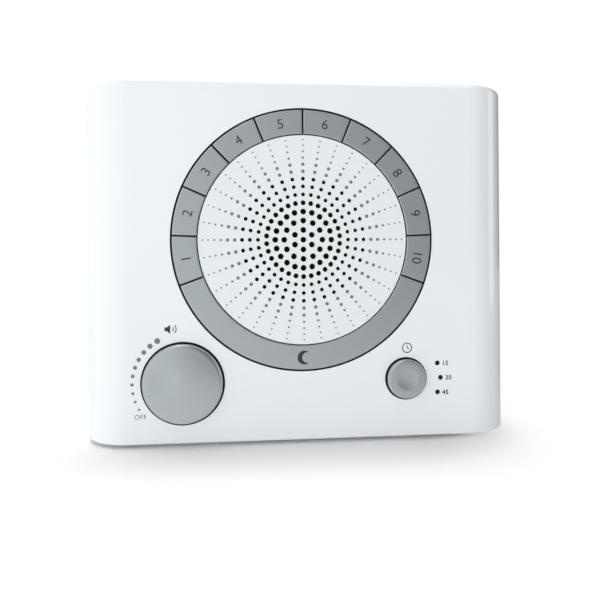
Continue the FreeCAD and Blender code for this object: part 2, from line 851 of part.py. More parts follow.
def make_key_board():
    board = new_body("key_board", 0, dial_z)
    face = front_sketch(board, key_board_front)
    circle(face, 0, 0, barrel_inner)
    circle(face, 0, 0, board_screw_out() + s.boss_radius)
    pad(board, face, s.board_thick)
    holes = front_sketch(board, key_board_front - 1)
    for x, z in ring_points(board_screw_out(), BOARD_SCREWS):
        circle(holes, x, z, s.screw_radius * 0.8 + s.free_gap / 2)
    pocket(board, holes, s.board_thick + 2)
    keep(board, "key_board")

    angles = key_angles() + [as_size(night_centre + turn) for turn in NIGHT_POSTS]
    switches = []
    for number, angle in enumerate(angles, 1):
        x, z = polar(key_middle, angle)
        switches.append(tact_switch("key_switch_%d" % number, x, dial_z + z, key_board_front, -angle))
    group("key_switches", switches)

    lamps = []
    for turn in NIGHT_LAMPS:
        x, z = polar(key_middle, night_centre + turn)
        lamp = new_body("night_lamp", x, dial_z + z)
        radius = s.switch_wide * 0.4
        turned(lamp, [
            (0, flange_back), (radius * 0.8, flange_back), (radius, flange_back + radius * 0.4),
            (radius, key_board_front), (0, key_board_front),
        ])
        lamps.append(lamp)
    group("night_light_leds", lamps)

    screws = []
    for x, z in ring_points(board_screw_out(), BOARD_SCREWS):
        body = new_body("key_board_screw", x, dial_z + z)
        radius = s.screw_radius * 0.8
        head = s.screw_head * 0.75
        turned(body, [
            (0, flange_back + s.free_gap), (radius, flange_back + s.free_gap), (radius, key_board_back),
            (head, key_board_back), (head, key_board_back + s.head_high * 0.7),
            (0, key_board_back + s.head_high * 0.7),
        ])
        screws.append(body)
    group("key_board_screws", screws)


# Speaker: basket, surround, cone, cap, coil and magnet, on the seat behind the grille
def make_speaker():
    basket_back = seat_back + s.speaker_deep
    rim = basket_rim
    neck = basket_neck
    sheet_thick = s.board_thick * 0.6

    basket = new_body("speaker_basket", 0, dial_z)
    turned(basket, [
        (rim, seat_back), (s.speaker_radius, seat_back), (s.speaker_radius, seat_back + sheet_thick),
        (rim + sheet_thick, seat_back + sheet_thick), (neck, basket_back - sheet_thick), (neck, basket_back),
        (s.cap_radius + 1, basket_back), (s.cap_radius + 1, basket_back - sheet_thick),
        (neck - sheet_thick, basket_back - sheet_thick), (rim, seat_back + sheet_thick * 1.2),
    ])
    keep(basket, "speaker_basket")

    roll = rim - s.free_gap
    cone_edge = roll - s.seat_wide * 2
    top = seat_back - sheet_thick * 0.5
    surround = new_body("speaker_surround", 0, dial_z)
    turned(surround, [
        (cone_edge, seat_back + 1.2), (cone_edge + 1.2, top), (roll - 1.2, top), (roll, seat_back + 0.6),
        (roll, seat_back + 0.6 + s.roll_thick), (roll - 1.5, top + s.roll_thick),
        (cone_edge + 1.5, top + s.roll_thick), (cone_edge + 0.4, seat_back + 1.2 + s.roll_thick),
    ])
    keep(surround, "speaker_surround")

    cap_edge = basket_back - s.speaker_deep * 0.33
    paper = s.board_thick * 0.35
    cone = new_body("speaker_cone", 0, dial_z)
    turned(cone, [
        (s.cap_radius + 0.2, cap_edge), (cone_edge - 0.1, seat_back + 1.6), (cone_edge - 0.1, seat_back + 1.6 + paper),
        (s.cap_radius + 0.2, cap_edge + paper * 1.3),
    ])
    keep(cone, "speaker_cone")

    cap_rise = s.cap_radius * 0.3
    cap_curve = (s.cap_radius * s.cap_radius + cap_rise * cap_rise) / (cap_rise * 2)
    cap = new_body("speaker_cap", 0, dial_z)
    turned(cap, [
        (0, cap_edge - cap_rise, cap_curve), (s.cap_radius, cap_edge), (s.cap_radius, cap_edge + paper),
        (0, cap_edge + paper),
    ])
    keep(cap, "speaker_cap")

    coil = new_body("voice_coil", 0, dial_z)
    turned(coil, [
        (s.cap_radius - 0.9, cap_edge + paper + 0.1), (s.cap_radius, cap_edge + paper + 0.1),
        (s.cap_radius, basket_back - 0.1), (s.cap_radius - 0.9, basket_back - 0.1),
    ])
    keep(coil, "voice_coil")

    magnet = new_body("speaker_magnet", 0, dial_z)
    plate = s.magnet_radius * 0.86
    turned(magnet, [
        (0, basket_back), (plate, basket_back), (plate, basket_back + 1.2), (s.magnet_radius, basket_back + 1.2),
        (s.magnet_radius, basket_back + s.magnet_high - 1.5), (plate, basket_back + s.magnet_high - 1.5),
        (plate, basket_back + s.magnet_high), (0, basket_back + s.magnet_high),
    ])
    keep(magnet, "speaker_magnet")

    screws = []
    for x, z in ring_points(speaker_screw_out(), SPEAKER_SCREWS):
        body = new_body("speaker_screw", x, dial_z + z)
        radius = s.screw_radius * 0.8
        seat = seat_back + sheet_thick
        turned(body, [
            (0, s.disc_thick + 0.2), (radius, s.disc_thick + 0.2), (radius, seat),
            (s.boss_radius, seat), (s.boss_radius, seat + s.head_high * 0.7), (0, seat + s.head_high * 0.7),
        ])
        screws.append(body)
    group("speaker_screws", screws)


# Volume knob with its shaft, and the pot on the main board
def make_volume():
    rim_depth = s.knob_dome - s.knob_proud
    curve = (s.knob_radius * s.knob_radius + s.knob_dome * s.knob_dome) / (s.knob_dome * 2)
    skin = s.case_wall * 0.8
    bore = s.shaft_radius + s.shaft_fit
    sleeve = bore + s.case_wall * 0.8
    pot_front = main_front - s.pot_high
    sleeve_back = pot_front - s.free_gap * 2

    knob = new_body("volume_knob", knob_x, knob_z)
    turned(knob, [
        (0, -s.knob_proud, curve), (s.knob_radius, rim_depth), (s.knob_radius, s.knob_skirt),
        (s.knob_radius - skin, s.knob_skirt), (s.knob_radius - skin, skin + rim_depth + 0.6),
        (sleeve, skin + rim_depth + 0.6), (sleeve, sleeve_back), (bore, sleeve_back),
        (bore, rim_depth + skin), (0, rim_depth + skin),
    ])
    round_edges(knob, s.key_edge * 2,
                lambda box: near(box.YMin, rim_depth) and near(box.YMax, rim_depth)
                and near(box.XMax, s.knob_radius))
    doc.recompute()
    ball = (s.dimple_radius * s.dimple_radius + s.dimple_deep * s.dimple_deep) / (s.dimple_deep * 2)
    surface = -s.knob_proud + s.dimple_out * s.dimple_out / (curve * 2)
    x, z = polar(s.dimple_out, s.dimple_angle)
    dimple = knob.newObject("PartDesign::SubtractiveSphere", "finger_dimple")
    dimple.AttachmentSupport = [(origin_plane(knob, "XY_Plane"), "")]
    dimple.MapMode = "FlatFace"
    bind(dimple, "Radius", ball)
    bind(dimple, "AttachmentOffset.Base.x", x)
    bind(dimple, "AttachmentOffset.Base.y", surface + s.dimple_deep - ball)
    bind(dimple, "AttachmentOffset.Base.z", z)
    keep(knob, "volume_knob")

    shaft = new_body("volume_shaft", knob_x, knob_z)
    shaft_front = rim_depth + skin + 0.1
    turned(shaft, [
        (0, shaft_front), (s.shaft_radius - 0.3, shaft_front), (s.shaft_radius, shaft_front + 0.3),
        (s.shaft_radius, main_front - 2), (0, main_front - 2),
    ])
    keep(shaft, "volume_shaft")

    pot = new_body("volume_pot", knob_x, knob_z)
    turned(pot, [
        (bore, pot_front), (s.pot_radius, pot_front), (s.pot_radius, main_front), (0, main_front),
        (0, main_front - 1.7), (bore, main_front - 1.7),
    ])
    keep(pot, "volume_pot")


# Timer button, its switch and its three lamps
def make_timer():
    radius = s.button_radius
    proud = s.button_proud
    dish_deep = proud * 0.2
    dish = (s.button_dish * s.button_dish + dish_deep * dish_deep) / (dish_deep * 2)
    shoulder = proud * 0.45
    button = new_body("timer_button", timer_x, timer_z)
    turned(button, [
        (0, dish_deep - proud, -dish), (s.button_dish, -proud), (radius - shoulder, -proud, shoulder),
        (radius, shoulder - proud), (radius, lip_front), (radius + s.button_gap + 0.8, lip_front),
        (radius + s.button_gap + 0.8, lip_back), (s.post_wide / 2, lip_back), (s.post_wide / 2, button_post_back),
        (0, button_post_back),
    ])
    keep(button, "timer_button")
    keep(tact_switch("timer_switch", timer_x, timer_z, main_front), "timer_switch")

    lamps = []
    for x, z in lamp_points():
        lamp = new_body("timer_lamp", x, z)
        wide = s.lamp_radius * 1.7
        turned(lamp, [
            (0, 0.1), (s.lamp_radius * 0.7, 0.1), (s.lamp_radius, 0.4), (s.lamp_radius, lip_front),
            (wide, lip_front), (wide, main_front), (0, main_front),
        ])
        lamps.append(lamp)
    group("timer_leds", lamps)


# Main board with its parts
def make_main_board():
    board = new_body("main_board")
    top = dial_z - s.board_top
    low = top - s.board_high
    face = front_sketch(board, main_front)
    rectangle(face, -s.board_wide / 2, s.board_wide / 2, low, top)
    for x, z in board_posts():
        circle(face, x, z, s.screw_radius + s.free_gap / 2)
    pad(board, face, s.board_thick)
    keep(board, "main_board")
    group("board_screws", [screw("board_screw_%d" % number, x, z, main_back, s.board_thick + 6)
                           for number, (x, z) in enumerate(board_posts(), 1)])

    half = s.plug_wide / 2
    plug_top = top - s.plug_high * 0.8
    keep(block("board_connector", (-half, half), (key_board_back, main_front), (plug_top - s.plug_high, plug_top)),
         "board_connector")
    middle = low + s.board_high / 2
    half = s.chip_wide / 2
    keep(block("sound_chip", (-s.can_step - half, half - s.can_step), (main_back, main_back + s.chip_high),
               (middle - half, middle + half)), "sound_chip")
    group("capacitors", [rod("capacitor", s.can_step * place_number, middle, s.can_radius,
                             (main_back, main_back + s.can_high)) for place_number in (1, 2, 3)])


# Leads inside: from the speaker, the battery bay and the inlet to the main board
def make_leads():
    gap = s.thread_gap
    top = dial_z - s.board_top
    neck = dial_z - basket_neck
    pair = s.lead_radius * 1.2
    solids = []
    for side in (-1, 1):
        wire = doc.addObject("Part::Cylinder", "speaker_wire")
        bind(wire, "Radius", s.lead_radius)
        bind(wire, "Height", neck + s.lead_radius * 2 - top - gap)
        place(wire, side * pair, front_y + seat_back + s.speaker_deep + s.lead_radius + gap, top + gap)
        solids.append(wire)
    group("speaker_leads", solids)

    bay_x = bay_half - s.contact_room * 2
    bay_z = s.bay_rise - bay_high / 2 + s.lead_radius * 3
    group("battery_leads", [
        rod("battery_wire", side * bay_x + end * pair, bay_z, s.lead_radius,
            (main_back + gap, bay_front - s.bay_wall - gap)) for side in (-1, 1) for end in (-1, 1)])
    jack_front = s.case_deep - s.case_wall - s.jack_deep
    group("inlet_leads", [
        rod("inlet_wire", s.jack_right + end * pair, s.jack_rise, s.lead_radius,
            (main_back + gap, jack_front - gap)) for end in (-1, 1)])


# Battery bay: cells, contacts and the door that closes it
def make_battery_bay():
    low, high = s.bay_rise - bay_high / 2, s.bay_rise + bay_high / 2
    centre_depth = bay_front + s.cell_radius + s.free_gap / 2
    solids = []
    nub = s.cell_nub
    for side in (-1, 1):
        for level in (-1, 1):
            height = s.bay_rise + level * (s.cell_radius + s.bay_slack / 4)
            outward = side * level
            start = side * s.cell_long / 2 - (s.cell_long / 2 if outward > 0 else s.cell_long / 2 - nub)
            can = doc.addObject("Part::Cylinder", "cell")
            bind(can, "Radius", s.cell_radius)
            bind(can, "Height", s.cell_long - nub)
            place(can, start, front_y + centre_depth, height, turn=90)
            tip = doc.addObject("Part::Cylinder", "cell_tip")
            bind(tip, "Radius", s.cell_radius * 0.38)
            bind(tip, "Height", nub)
            tip_start = start + (s.cell_long - nub) if outward > 0 else start - nub
            place(tip, tip_start, front_y + centre_depth, height, turn=90)
            solids.extend((can, tip))
    group("aa_cells", solids)

    strips = []
    for side in (-1, 1):
        for level in (-1, 1):
            body = new_body("contact", side * bay_half, s.bay_rise + level * (s.cell_radius + s.bay_slack / 4))
            reach = -side * (s.contact_room - 0.1)
            thin = -side * s.contact_thick
            strip = plan_sketch(body, -s.cell_radius * 0.6)
            outline(strip, [
                (0, centre_depth - 5), (thin, centre_depth - 5), (reach, centre_depth - 1),
                (reach, centre_depth + 1), (thin, centre_depth + 5), (0, centre_depth + 5),
                (0, centre_depth + 4.6), (reach - thin, centre_depth + 0.8), (reach - thin, centre_depth - 0.8),
                (0, centre_depth - 4.6),
            ])
            pad(body, strip, s.cell_radius * 1.2)
            strips.append(body)
    group("battery_contacts", strips)

    door = new_body("battery_door")
    lap = s.door_lap
    bottom = low - lap
    curl = s.door_thick / 2
    side = sketch_on(door, "YZ_Plane", -bay_half - lap)
    outline(side, [
        (door_front, bottom + curl, curl), (door_front + curl, bottom, curl), (s.case_deep, bottom + curl),
        (s.case_deep, high + lap), (door_front, high + lap),
    ])
    pad(door, side, (bay_half + lap) * 2)
    grip = front_sketch(door, s.case_deep - s.grip_deep)
    circle(grip, 0, high + lap - s.grip_radius * 0.8, s.grip_radius)
    pocket(door, grip, s.grip_deep + 1)
    pin = sketch_on(door, "YZ_Plane", -(bay_half + lap + s.case_wall * 0.6))
    circle(pin, s.case_deep - s.door_thick / 2, bottom + s.door_thick / 2, s.door_pin)
    pad(door, pin, (bay_half + lap + s.case_wall * 0.6) * 2)
    keep(door, "battery_door")


# Power inlet
def make_inlet():
    body = new_body("dc_jack", s.jack_right, s.jack_rise)
    wall = s.case_wall
    inner_face = s.case_deep - wall
    wide, high = s.jack_wide / 2, s.jack_high / 2
    housing = front_sketch(body, inner_face - s.jack_deep)
    rectangle(housing, -wide, wide, -high, high)
    pad(body, housing, s.jack_deep)
    nose = front_sketch(body, inner_face - 1)
    circle(nose, 0, 0, s.jack_bore + wall * 0.4)
    pad(body, nose, wall * 0.8 + 1)
    bore = front_sketch(body, inner_face - s.jack_hole_deep)
    circle(bore, 0, 0, s.jack_bore)
    pocket(body, bore, s.jack_hole_deep + wall)
    pin = front_sketch(body, inner_face - s.jack_hole_deep - 0.5)
    circle(pin, 0, 0, s.jack_pin)
    pad(body, pin, s.jack_hole_deep + 0.5 + wall * 0.5)
    keep(body, "dc_jack")


def write_parts():
    """Checks every object and writes one STEP file for each finished piece."""
    doc.recompute()
    for thing in doc.Objects:
        if "Invalid" in thing.State or "Error" in thing.State:
            raise RuntimeError("%s is %s" % (thing.Name, thing.State))
    for label, thing in nodes.items():
        if thing.Shape.isNull() or not thing.Shape.isValid():
            raise RuntimeError("%s has no valid shape" % label)
    for label, thing in nodes.items():
        thing.Shape.exportStep("parts/%s.step" % label)


make_front_housing()
make_rear_cover()
make_feet()
make_grille_frame()
make_keys()
make_key_board()
make_speaker()
make_volume()
make_timer()
make_main_board()
make_leads()
make_battery_bay()
make_inlet()
write_parts()
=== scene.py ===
"""A white bedside sound machine: case, grille, ring of keys, volume knob and timer button."""

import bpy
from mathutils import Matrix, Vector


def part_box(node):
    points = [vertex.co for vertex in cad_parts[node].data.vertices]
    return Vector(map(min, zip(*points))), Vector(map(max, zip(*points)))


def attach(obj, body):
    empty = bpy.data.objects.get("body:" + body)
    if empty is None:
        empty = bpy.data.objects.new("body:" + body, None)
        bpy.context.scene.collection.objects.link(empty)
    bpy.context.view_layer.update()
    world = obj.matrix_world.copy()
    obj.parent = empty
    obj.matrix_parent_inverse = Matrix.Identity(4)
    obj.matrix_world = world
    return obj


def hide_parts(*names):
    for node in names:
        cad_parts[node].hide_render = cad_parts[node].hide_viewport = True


bl_info = {
    "name": "Sound machine",
    "version": (1, 0, 0),
    "blender": (4, 5, 0),
    "location": "View3D > Sidebar > Sound machine",
    "description": "Makes the visible pieces of a bedside sound machine and its stage",
    "category": "Object",
}

import math

import bmesh
import bpy
from bpy.props import FloatProperty, FloatVectorProperty, IntProperty, PointerProperty, StringProperty
from mathutils import Matrix, Vector

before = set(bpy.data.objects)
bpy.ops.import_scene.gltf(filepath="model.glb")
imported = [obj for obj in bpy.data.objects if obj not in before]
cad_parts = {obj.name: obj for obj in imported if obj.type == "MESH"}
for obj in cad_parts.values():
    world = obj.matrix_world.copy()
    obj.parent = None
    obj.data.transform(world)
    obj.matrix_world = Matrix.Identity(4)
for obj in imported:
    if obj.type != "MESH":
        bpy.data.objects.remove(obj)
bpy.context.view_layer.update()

MM = 0.001


# Places taken from the solids
def middle(node):
    """The centre of a node's box."""
    low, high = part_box(node)
    return (low + high) / 2


HOUSING_LOW, HOUSING_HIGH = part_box("front_housing")
FRONT_Y = HOUSING_LOW.y
SPLIT_Y = HOUSING_HIGH.y
BACK_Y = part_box("rear_cover")[1].y
CASE_LOW = HOUSING_LOW.z
CASE_TOP = HOUSING_HIGH.z
DIAL = middle("speaker_magnet")
KNOB = middle("volume_pot")
TIMER = middle("timer_switch")
JACK = middle("dc_jack")
DOOR_LOW, DOOR_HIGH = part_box("battery_door")
KEY_LOW, KEY_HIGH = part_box("sound_key_5")
KNOB_LOW, KNOB_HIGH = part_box("volume_knob")
BUTTON_LOW, BUTTON_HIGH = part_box("timer_button")
FOOT_LOW, FOOT_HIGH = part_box("rubber_feet")
SCREW_LOW, SCREW_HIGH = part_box("case_screws")

# The hinge pins stand out of the door's plate at both ends
PIN_REACH = 1.5 * MM
PLATE_LOW = DOOR_LOW + Vector((PIN_REACH, 0, 0))
PLATE_HIGH = DOOR_HIGH - Vector((PIN_REACH, 0, 0))

KEY_COUNT = 10
RING_HOLES = (6, 12, 20, 30, 36, 36, 36)
PRINTED_RINGS = range(8, 15)
PRINTED_SHARES = (1.0, 0.95, 0.68, 0.56, 0.50, 0.46, 0.40)
PRINTED_COUNT = 36


# Sizes and colours that a user would change
def length(name, default, text):
    """A size, with its default given in millimetres."""
    return FloatProperty(name=name, default=default * MM, description=text, unit="LENGTH", precision=5)


def turn(name, default, text):
    """An angle, with its default given in degrees."""
    return FloatProperty(name=name, default=math.radians(default), description=text, subtype="ANGLE")


def colour(name, default, text):
    return FloatVectorProperty(name=name, default=default, description=text, subtype="COLOR", min=0, max=1)


class CaseSizes(bpy.types.PropertyGroup):
    corner_round: length("Corner round", 19.3, "Radius of the upright front corners")
    back_round: length("Back round", 11.0, "Radius of the upright back corners")
    top_round: length("Top round", 2.5, "Radius of the top edge")
    base_round: length("Base round", 0.9, "Radius of the bottom edge")
    wall: length("Wall", 2.5, "Thickness of the case wall")
    seam: length("Seam", 0.3, "Width of the joint between housing and cover")
    rim_bevel: length("Rim bevel", 0.12, "Bevel on the rims of the openings")
    foot_radius: length("Foot radius", 6.0, "Radius of a rubber foot")


class DialSizes(bpy.types.PropertyGroup):
    key_radius: length("Key radius", 54.5, "Outer radius of the ring of keys")
    key_wide: length("Key width", 10.1, "Width of the ring of keys")
    key_split: length("Key split", 0.6, "Gap between two keys")
    ring_gap: length("Ring gap", 0.75, "Gap round the ring of keys")
    disc_gap: length("Disc gap", 0.40, "Gap between keys and grille")
    key_step: turn("Key step", 22.0, "Angle from key to key")
    key_bevel: length("Key bevel", 0.32, "Round on the front edges of a key")
    hole_step: length("Hole step", 4.17, "Distance from ring to ring of holes at the middle")
    hole_crowd: length("Hole crowding", 0.072, "How much closer the rings draw outwards")
    hole_radius: length("Hole radius", 1.24, "Radius of the middle holes")
    hole_middle: length("Middle hole radius", 1.07, "Radius of the holes of the fourth ring")
    hole_small: length("Small hole radius", 0.84, "Radius of the outer holes")
    hole_sides: IntProperty(name="Hole sides", default=20, description="Sides of a grille hole")
    disc_thick: length("Disc thickness", 2.0, "Thickness of the grille disc")


class ControlSizes(bpy.types.PropertyGroup):
    knob_radius: length("Knob radius", 16.45, "Radius of the volume knob")
    knob_gap: length("Knob gap", 0.75, "Gap round the volume knob")
    knob_dome: length("Knob dome", 1.9, "Rise of the knob's face")
    knob_soft: length("Knob edge", 2.2, "Round on the knob's edge")
    dimple_out: length("Dimple distance", 7.6, "Distance of the finger dimple from the knob's middle")
    dimple_angle: turn("Dimple angle", 165.0, "Direction of the dimple")
    dimple_radius: length("Dimple radius", 6.3, "Radius of the finger dimple")
    dimple_deep: length("Dimple depth", 0.6, "Depth of the finger dimple")
    button_radius: length("Button radius", 8.3, "Radius of the timer button")
    button_gap: length("Button gap", 0.7, "Gap round the timer button")
    button_dish: length("Button dish", 4.6, "Radius of the dish in the timer button")
    lamp_arc: length("Lamp arc", 15.2, "Radius of the arc of the timer lamps")
    lamp_step: turn("Lamp step", 24.2, "Angle from lamp to lamp")
    lamp_radius: length("Lamp radius", 0.95, "Radius of a timer lamp")


class PrintSizes(bpy.types.PropertyGroup):
    ink_rise: length("Ink rise", 0.02, "Height of the printed ink")
    key_number: length("Key number", 4.2, "Height of the numbers on the keys")
    lamp_number: length("Lamp number", 1.9, "Height of the numbers beside the lamps")
    off_word: length("Off word", 1.9, "Height of the word at the end of the volume scale")
    scale_arc: length("Scale arc", 20.5, "Radius of the dots round the volume knob")
    scale_large: length("Largest dot", 1.2, "Radius of the loudest dot")
    scale_small: length("Smallest dot", 0.5, "Radius of the quietest dot")
    ring_dot: length("Ring dot", 0.75, "Radius of the largest printed grille dot")


class Finishes(bpy.types.PropertyGroup):
    white: colour("White", (0.80, 0.825, 0.845), "Gloss white of the case")
    disc_white: colour("Disc white", (0.77, 0.795, 0.81), "Satin white of the grille")
    silver: colour("Silver", (0.455, 0.495, 0.52), "Satin silver of the keys and the knob")
    ink: colour("Ink", (0.025, 0.028, 0.032), "Dark printed ink")
    pale_ink: colour("Pale ink", (0.16, 0.175, 0.185), "Grey printed ink of the dots")
    floor: colour("Floor", (0.86, 0.86, 0.86), "Pale floor")


class SoundMachine(bpy.types.PropertyGroup):
    case: PointerProperty(type=CaseSizes, name="Case", description="Sizes of the case")
    dial: PointerProperty(type=DialSizes, name="Dial", description="Sizes of the keys and the grille")
    controls: PointerProperty(type=ControlSizes, name="Controls", description="Sizes of knob and button")
    prints: PointerProperty(type=PrintSizes, name="Printing", description="Sizes of the printed marks")
    finishes: PointerProperty(type=Finishes, name="Finishes", description="Colours of the finishes")
    label: StringProperty(name="Word", default="OFF", description="Word at the end of the volume scale")


def settings():
    return bpy.context.scene.sound_machine


# Node trees written as calls, sums and products
class Wire:
    """One output of a node."""

    def __init__(self, nodes, socket):
        self.nodes = nodes
        self.socket = socket

    def math(self, operation, other=0.0):
        return self.nodes.node("ShaderNodeMath", [self, other], operation=operation)

    def __add__(self, other):
        return self.math("ADD", other)

    def __sub__(self, other):
        return self.math("SUBTRACT", other)

    def __rsub__(self, other):
        return self * -1.0 + other

    def __mul__(self, other):
        return self.math("MULTIPLY", other)

    __radd__ = __add__
    __rmul__ = __mul__


class Nodes:
    """A node tree."""

    def __init__(self, tree):
        self.tree = tree

    def node(self, kind, values=(), out=0, **choices):
        """Adds a node: first its settings, then the values or links of its sockets."""
        made = self.tree.nodes.new(kind)
        for name, choice in choices.items():
            setattr(made, name, choice)
        pairs = values.items() if isinstance(values, dict) else enumerate(values)
        for key, value in pairs:
            for one in value if isinstance(value, list) else [value]:
                if isinstance(one, Wire):
                    self.tree.links.new(one.socket, made.inputs[key])
                else:
                    made.inputs[key].default_value = one
        return Wire(self, made.outputs[out]) if made.outputs else None


class Shader(Nodes):
    """The nodes of one material, or of the world."""

    def __init__(self, name, kind=None):
        self.owner = (bpy.data.materials if kind is None else kind).new(name)
        self.owner.use_nodes = True
        super().__init__(self.owner.node_tree)
        self.tree.nodes.clear()

    def place(self):
        """Object coordinates, in metres."""
        return self.node("ShaderNodeTexCoord", out="Object")

    def noise(self, scale, detail=2.0, roughness=0.5):
        """Noise about a half, with its grain set in cells per metre."""
        return self.node("ShaderNodeTexNoise", {
            "Vector": self.place(), "Scale": scale, "Detail": detail, "Roughness": roughness})

    def tint(self, dark, light, factor):
        """A colour between two colours."""
        return self.node("ShaderNodeMix", {0: factor, 6: (*dark, 1), 7: (*light, 1)}, out=2, data_type="RGBA")

    def spread(self, colour, amount, factor):
        """A colour that varies by an amount to both sides."""
        return self.tint(shade(colour, 1 - amount), shade(colour, 1 + amount), factor)

    def bump(self, height, strength, distance):
        return self.node("ShaderNodeBump", {"Height": height, "Strength": strength, "Distance": distance})

    def finish(self, **sockets):
        """Ends the material in one Principled shader."""
        names = {key.replace("_", " ").title().replace("Ior", "IOR"): value for key, value in sockets.items()}
        surface = self.node("ShaderNodeBsdfPrincipled", names)
        self.node("ShaderNodeOutputMaterial", {"Surface": surface})
        return self.owner


def shade(colour, factor):
    """A colour made darker or lighter."""
    return tuple(min(1.0, part * factor) for part in colour)


# Materials
def gloss_white(name, base, roughness=0.16):
    """Gloss moulded plastic with a faint ripple and slightly uneven polish."""
    shader = Shader(name)
    cloud = shader.noise(14.0, 3.0)
    ripple = shader.noise(260.0, 1.0)
    return shader.finish(
        base_color=shader.tint(shade(base, 0.985), shade(base, 1.012), cloud),
        roughness=roughness + 0.05 * cloud,
        normal=shader.bump(ripple, 0.05, 0.0002),
        coat_weight=0.35, coat_roughness=0.06, specular_ior_level=0.5)


def satin_silver(name, base, roughness=0.31, metal=0.75):
    """Silver-grey satin paint with fine flakes."""
    shader = Shader(name)
    cloud = shader.noise(40.0, 3.0)
    flake = shader.noise(5200.0, 1.0, 0.4)
    return shader.finish(
        base_color=shader.spread(base, 0.07, flake * 0.7 + cloud * 0.3),
        metallic=metal, roughness=roughness + 0.1 * cloud,
        normal=shader.bump(flake, 0.08, 0.00004))


def printed_ink(name, base):
    """Printed ink, slightly uneven and semi-matt."""
    shader = Shader(name)
    grain = shader.noise(3000.0, 2.0)
    return shader.finish(base_color=shader.tint(shade(base, 0.8), shade(base, 1.25), grain),
                         roughness=0.42 + 0.1 * grain)


def fine_matt(name, base, roughness=0.6, metal=0.0, grain_size=900.0, depth=0.00005):
    """A plain matt surface with a fine moulded or cast grain."""
    shader = Shader(name)
    grain = shader.noise(grain_size, 3.0)
    return shader.finish(base_color=shader.spread(base, 0.18, grain), metallic=metal,
                         roughness=roughness - 0.06 + 0.12 * grain, normal=shader.bump(grain, 0.35, depth))


def lens(name):
    """A dark unlit lamp."""
    shader = Shader(name)
    grain = shader.noise(1500.0, 2.0)
    return shader.finish(base_color=shader.tint((0.003, 0.003, 0.004), (0.01, 0.01, 0.012), grain),
                         roughness=0.3 + 0.1 * grain, specular_ior_level=0.25)


def circuit(name):
    """Green lacquer over copper tracks."""
    shader = Shader(name)
    tracks = shader.node("ShaderNodeTexBrick", {
        "Vector": shader.place(), "Scale": 160.0, "Color1": (0.02, 0.10, 0.045, 1),
        "Color2": (0.018, 0.085, 0.04, 1), "Mortar": (0.04, 0.17, 0.07, 1), "Mortar Size": 0.05})
    return shader.finish(base_color=tracks, roughness=0.32 + 0.1 * shader.noise(500.0))


MATERIALS = {}


def make_materials():
    look = settings().finishes
    MATERIALS.update({
        "white": gloss_white("case gloss white", look.white),
        "disc": gloss_white("grille satin white", look.disc_white, 0.34),
        "silver": satin_silver("satin silver", look.silver),
        "ink": printed_ink("dark ink", look.ink),
        "pale_ink": printed_ink("grey ink", look.pale_ink),
        "lens": lens("lamp lens"),
        "rubber": fine_matt("foot rubber", (0.05, 0.05, 0.052), 0.75),
        "circuit": circuit("circuit board"),
        # Black moulding of the inner parts, which also serves as painted shade on gap walls and on key, knob
        # and button sides.
        "black": fine_matt("black moulding", (0.016, 0.016, 0.018), 0.45),
        "steel": fine_matt("plated steel", (0.55, 0.55, 0.56), 0.32, 1.0, 1800.0, 0.00002),
        "copper": fine_matt("copper winding", (0.60, 0.28, 0.14), 0.35, 1.0, 4000.0, 0.00004),
        "paper": fine_matt("pressed paper", (0.014, 0.014, 0.015), 0.8, 0.0, 2500.0, 0.00008),
        "soft": fine_matt("soft roll", (0.01, 0.01, 0.011), 0.55),
        "ferrite": fine_matt("ferrite", (0.03, 0.03, 0.032), 0.5, 0.2),
        "cell": fine_matt("cell sleeve", (0.08, 0.09, 0.11), 0.3, 0.6, 300.0, 0.00002),
        "wire": fine_matt("lead sleeve", (0.04, 0.04, 0.05), 0.5),
    })


# Angles in degrees between two faces, above which an edge stays crisp
CRISP = 32.0
CRISP_TURNED = 30.0
CRISP_SHELL = 14.0

# How far a cutter stands out of the piece that it cuts
OVER = 4 * MM


# Mesh helpers
def finish_mesh(mesh, crisp=CRISP):
    """Makes a mesh smooth, with sharp edges where the faces meet at more than an angle."""
    work = bmesh.new()
    work.from_mesh(mesh)
    bmesh.ops.remove_doubles(work, verts=work.verts, dist=1e-7)
    bmesh.ops.recalc_face_normals(work, faces=work.faces)
    for face in work.faces:
        face.smooth = True
    for edge in work.edges:
        edge.smooth = len(edge.link_faces) == 2 and edge.calc_face_angle(0.0) < math.radians(crisp)
    work.to_mesh(mesh)
    work.free()
    mesh.update()
    return mesh


def mesh_of(name, points, faces):
    mesh = bpy.data.meshes.new(name)
    mesh.from_pydata([tuple(point) for point in points], [], faces)
    mesh.update()
    return mesh


def join_meshes(name, meshes):
    """One mesh of several."""
    work = bmesh.new()
    for mesh in meshes:
        work.from_mesh(mesh)
    made = bpy.data.meshes.new(name)
    work.to_mesh(made)
    work.free()
    return made


def new_object(name, mesh):
    thing = bpy.data.objects.new(name, mesh)
    bpy.context.scene.collection.objects.link(thing)
    return thing


def baked_mesh(thing):
    """The mesh of an object after its modifiers, or of its letters. The object goes."""
    bpy.context.view_layer.update()
    graph = bpy.context.evaluated_depsgraph_get()
    mesh = bpy.data.meshes.new_from_object(thing.evaluated_get(graph), depsgraph=graph)
    bpy.data.objects.remove(thing)
    return mesh


def settle(thing):
    """Turns an object with its modifiers into a plain mesh object at the origin."""
    name = thing.name
    mesh = baked_mesh(thing)
    mesh.name = name
    return new_object(name, mesh)


def cut(thing, mesh):
    """Takes a closed mesh out of the thing."""
    cutter = new_object("cutter", mesh)
    tool = thing.modifiers.new("cut", "BOOLEAN")
    tool.operation = "DIFFERENCE"
    tool.solver = "EXACT"
    tool.object = cutter
    made = settle(thing)
    bpy.data.objects.remove(cutter)
    return made


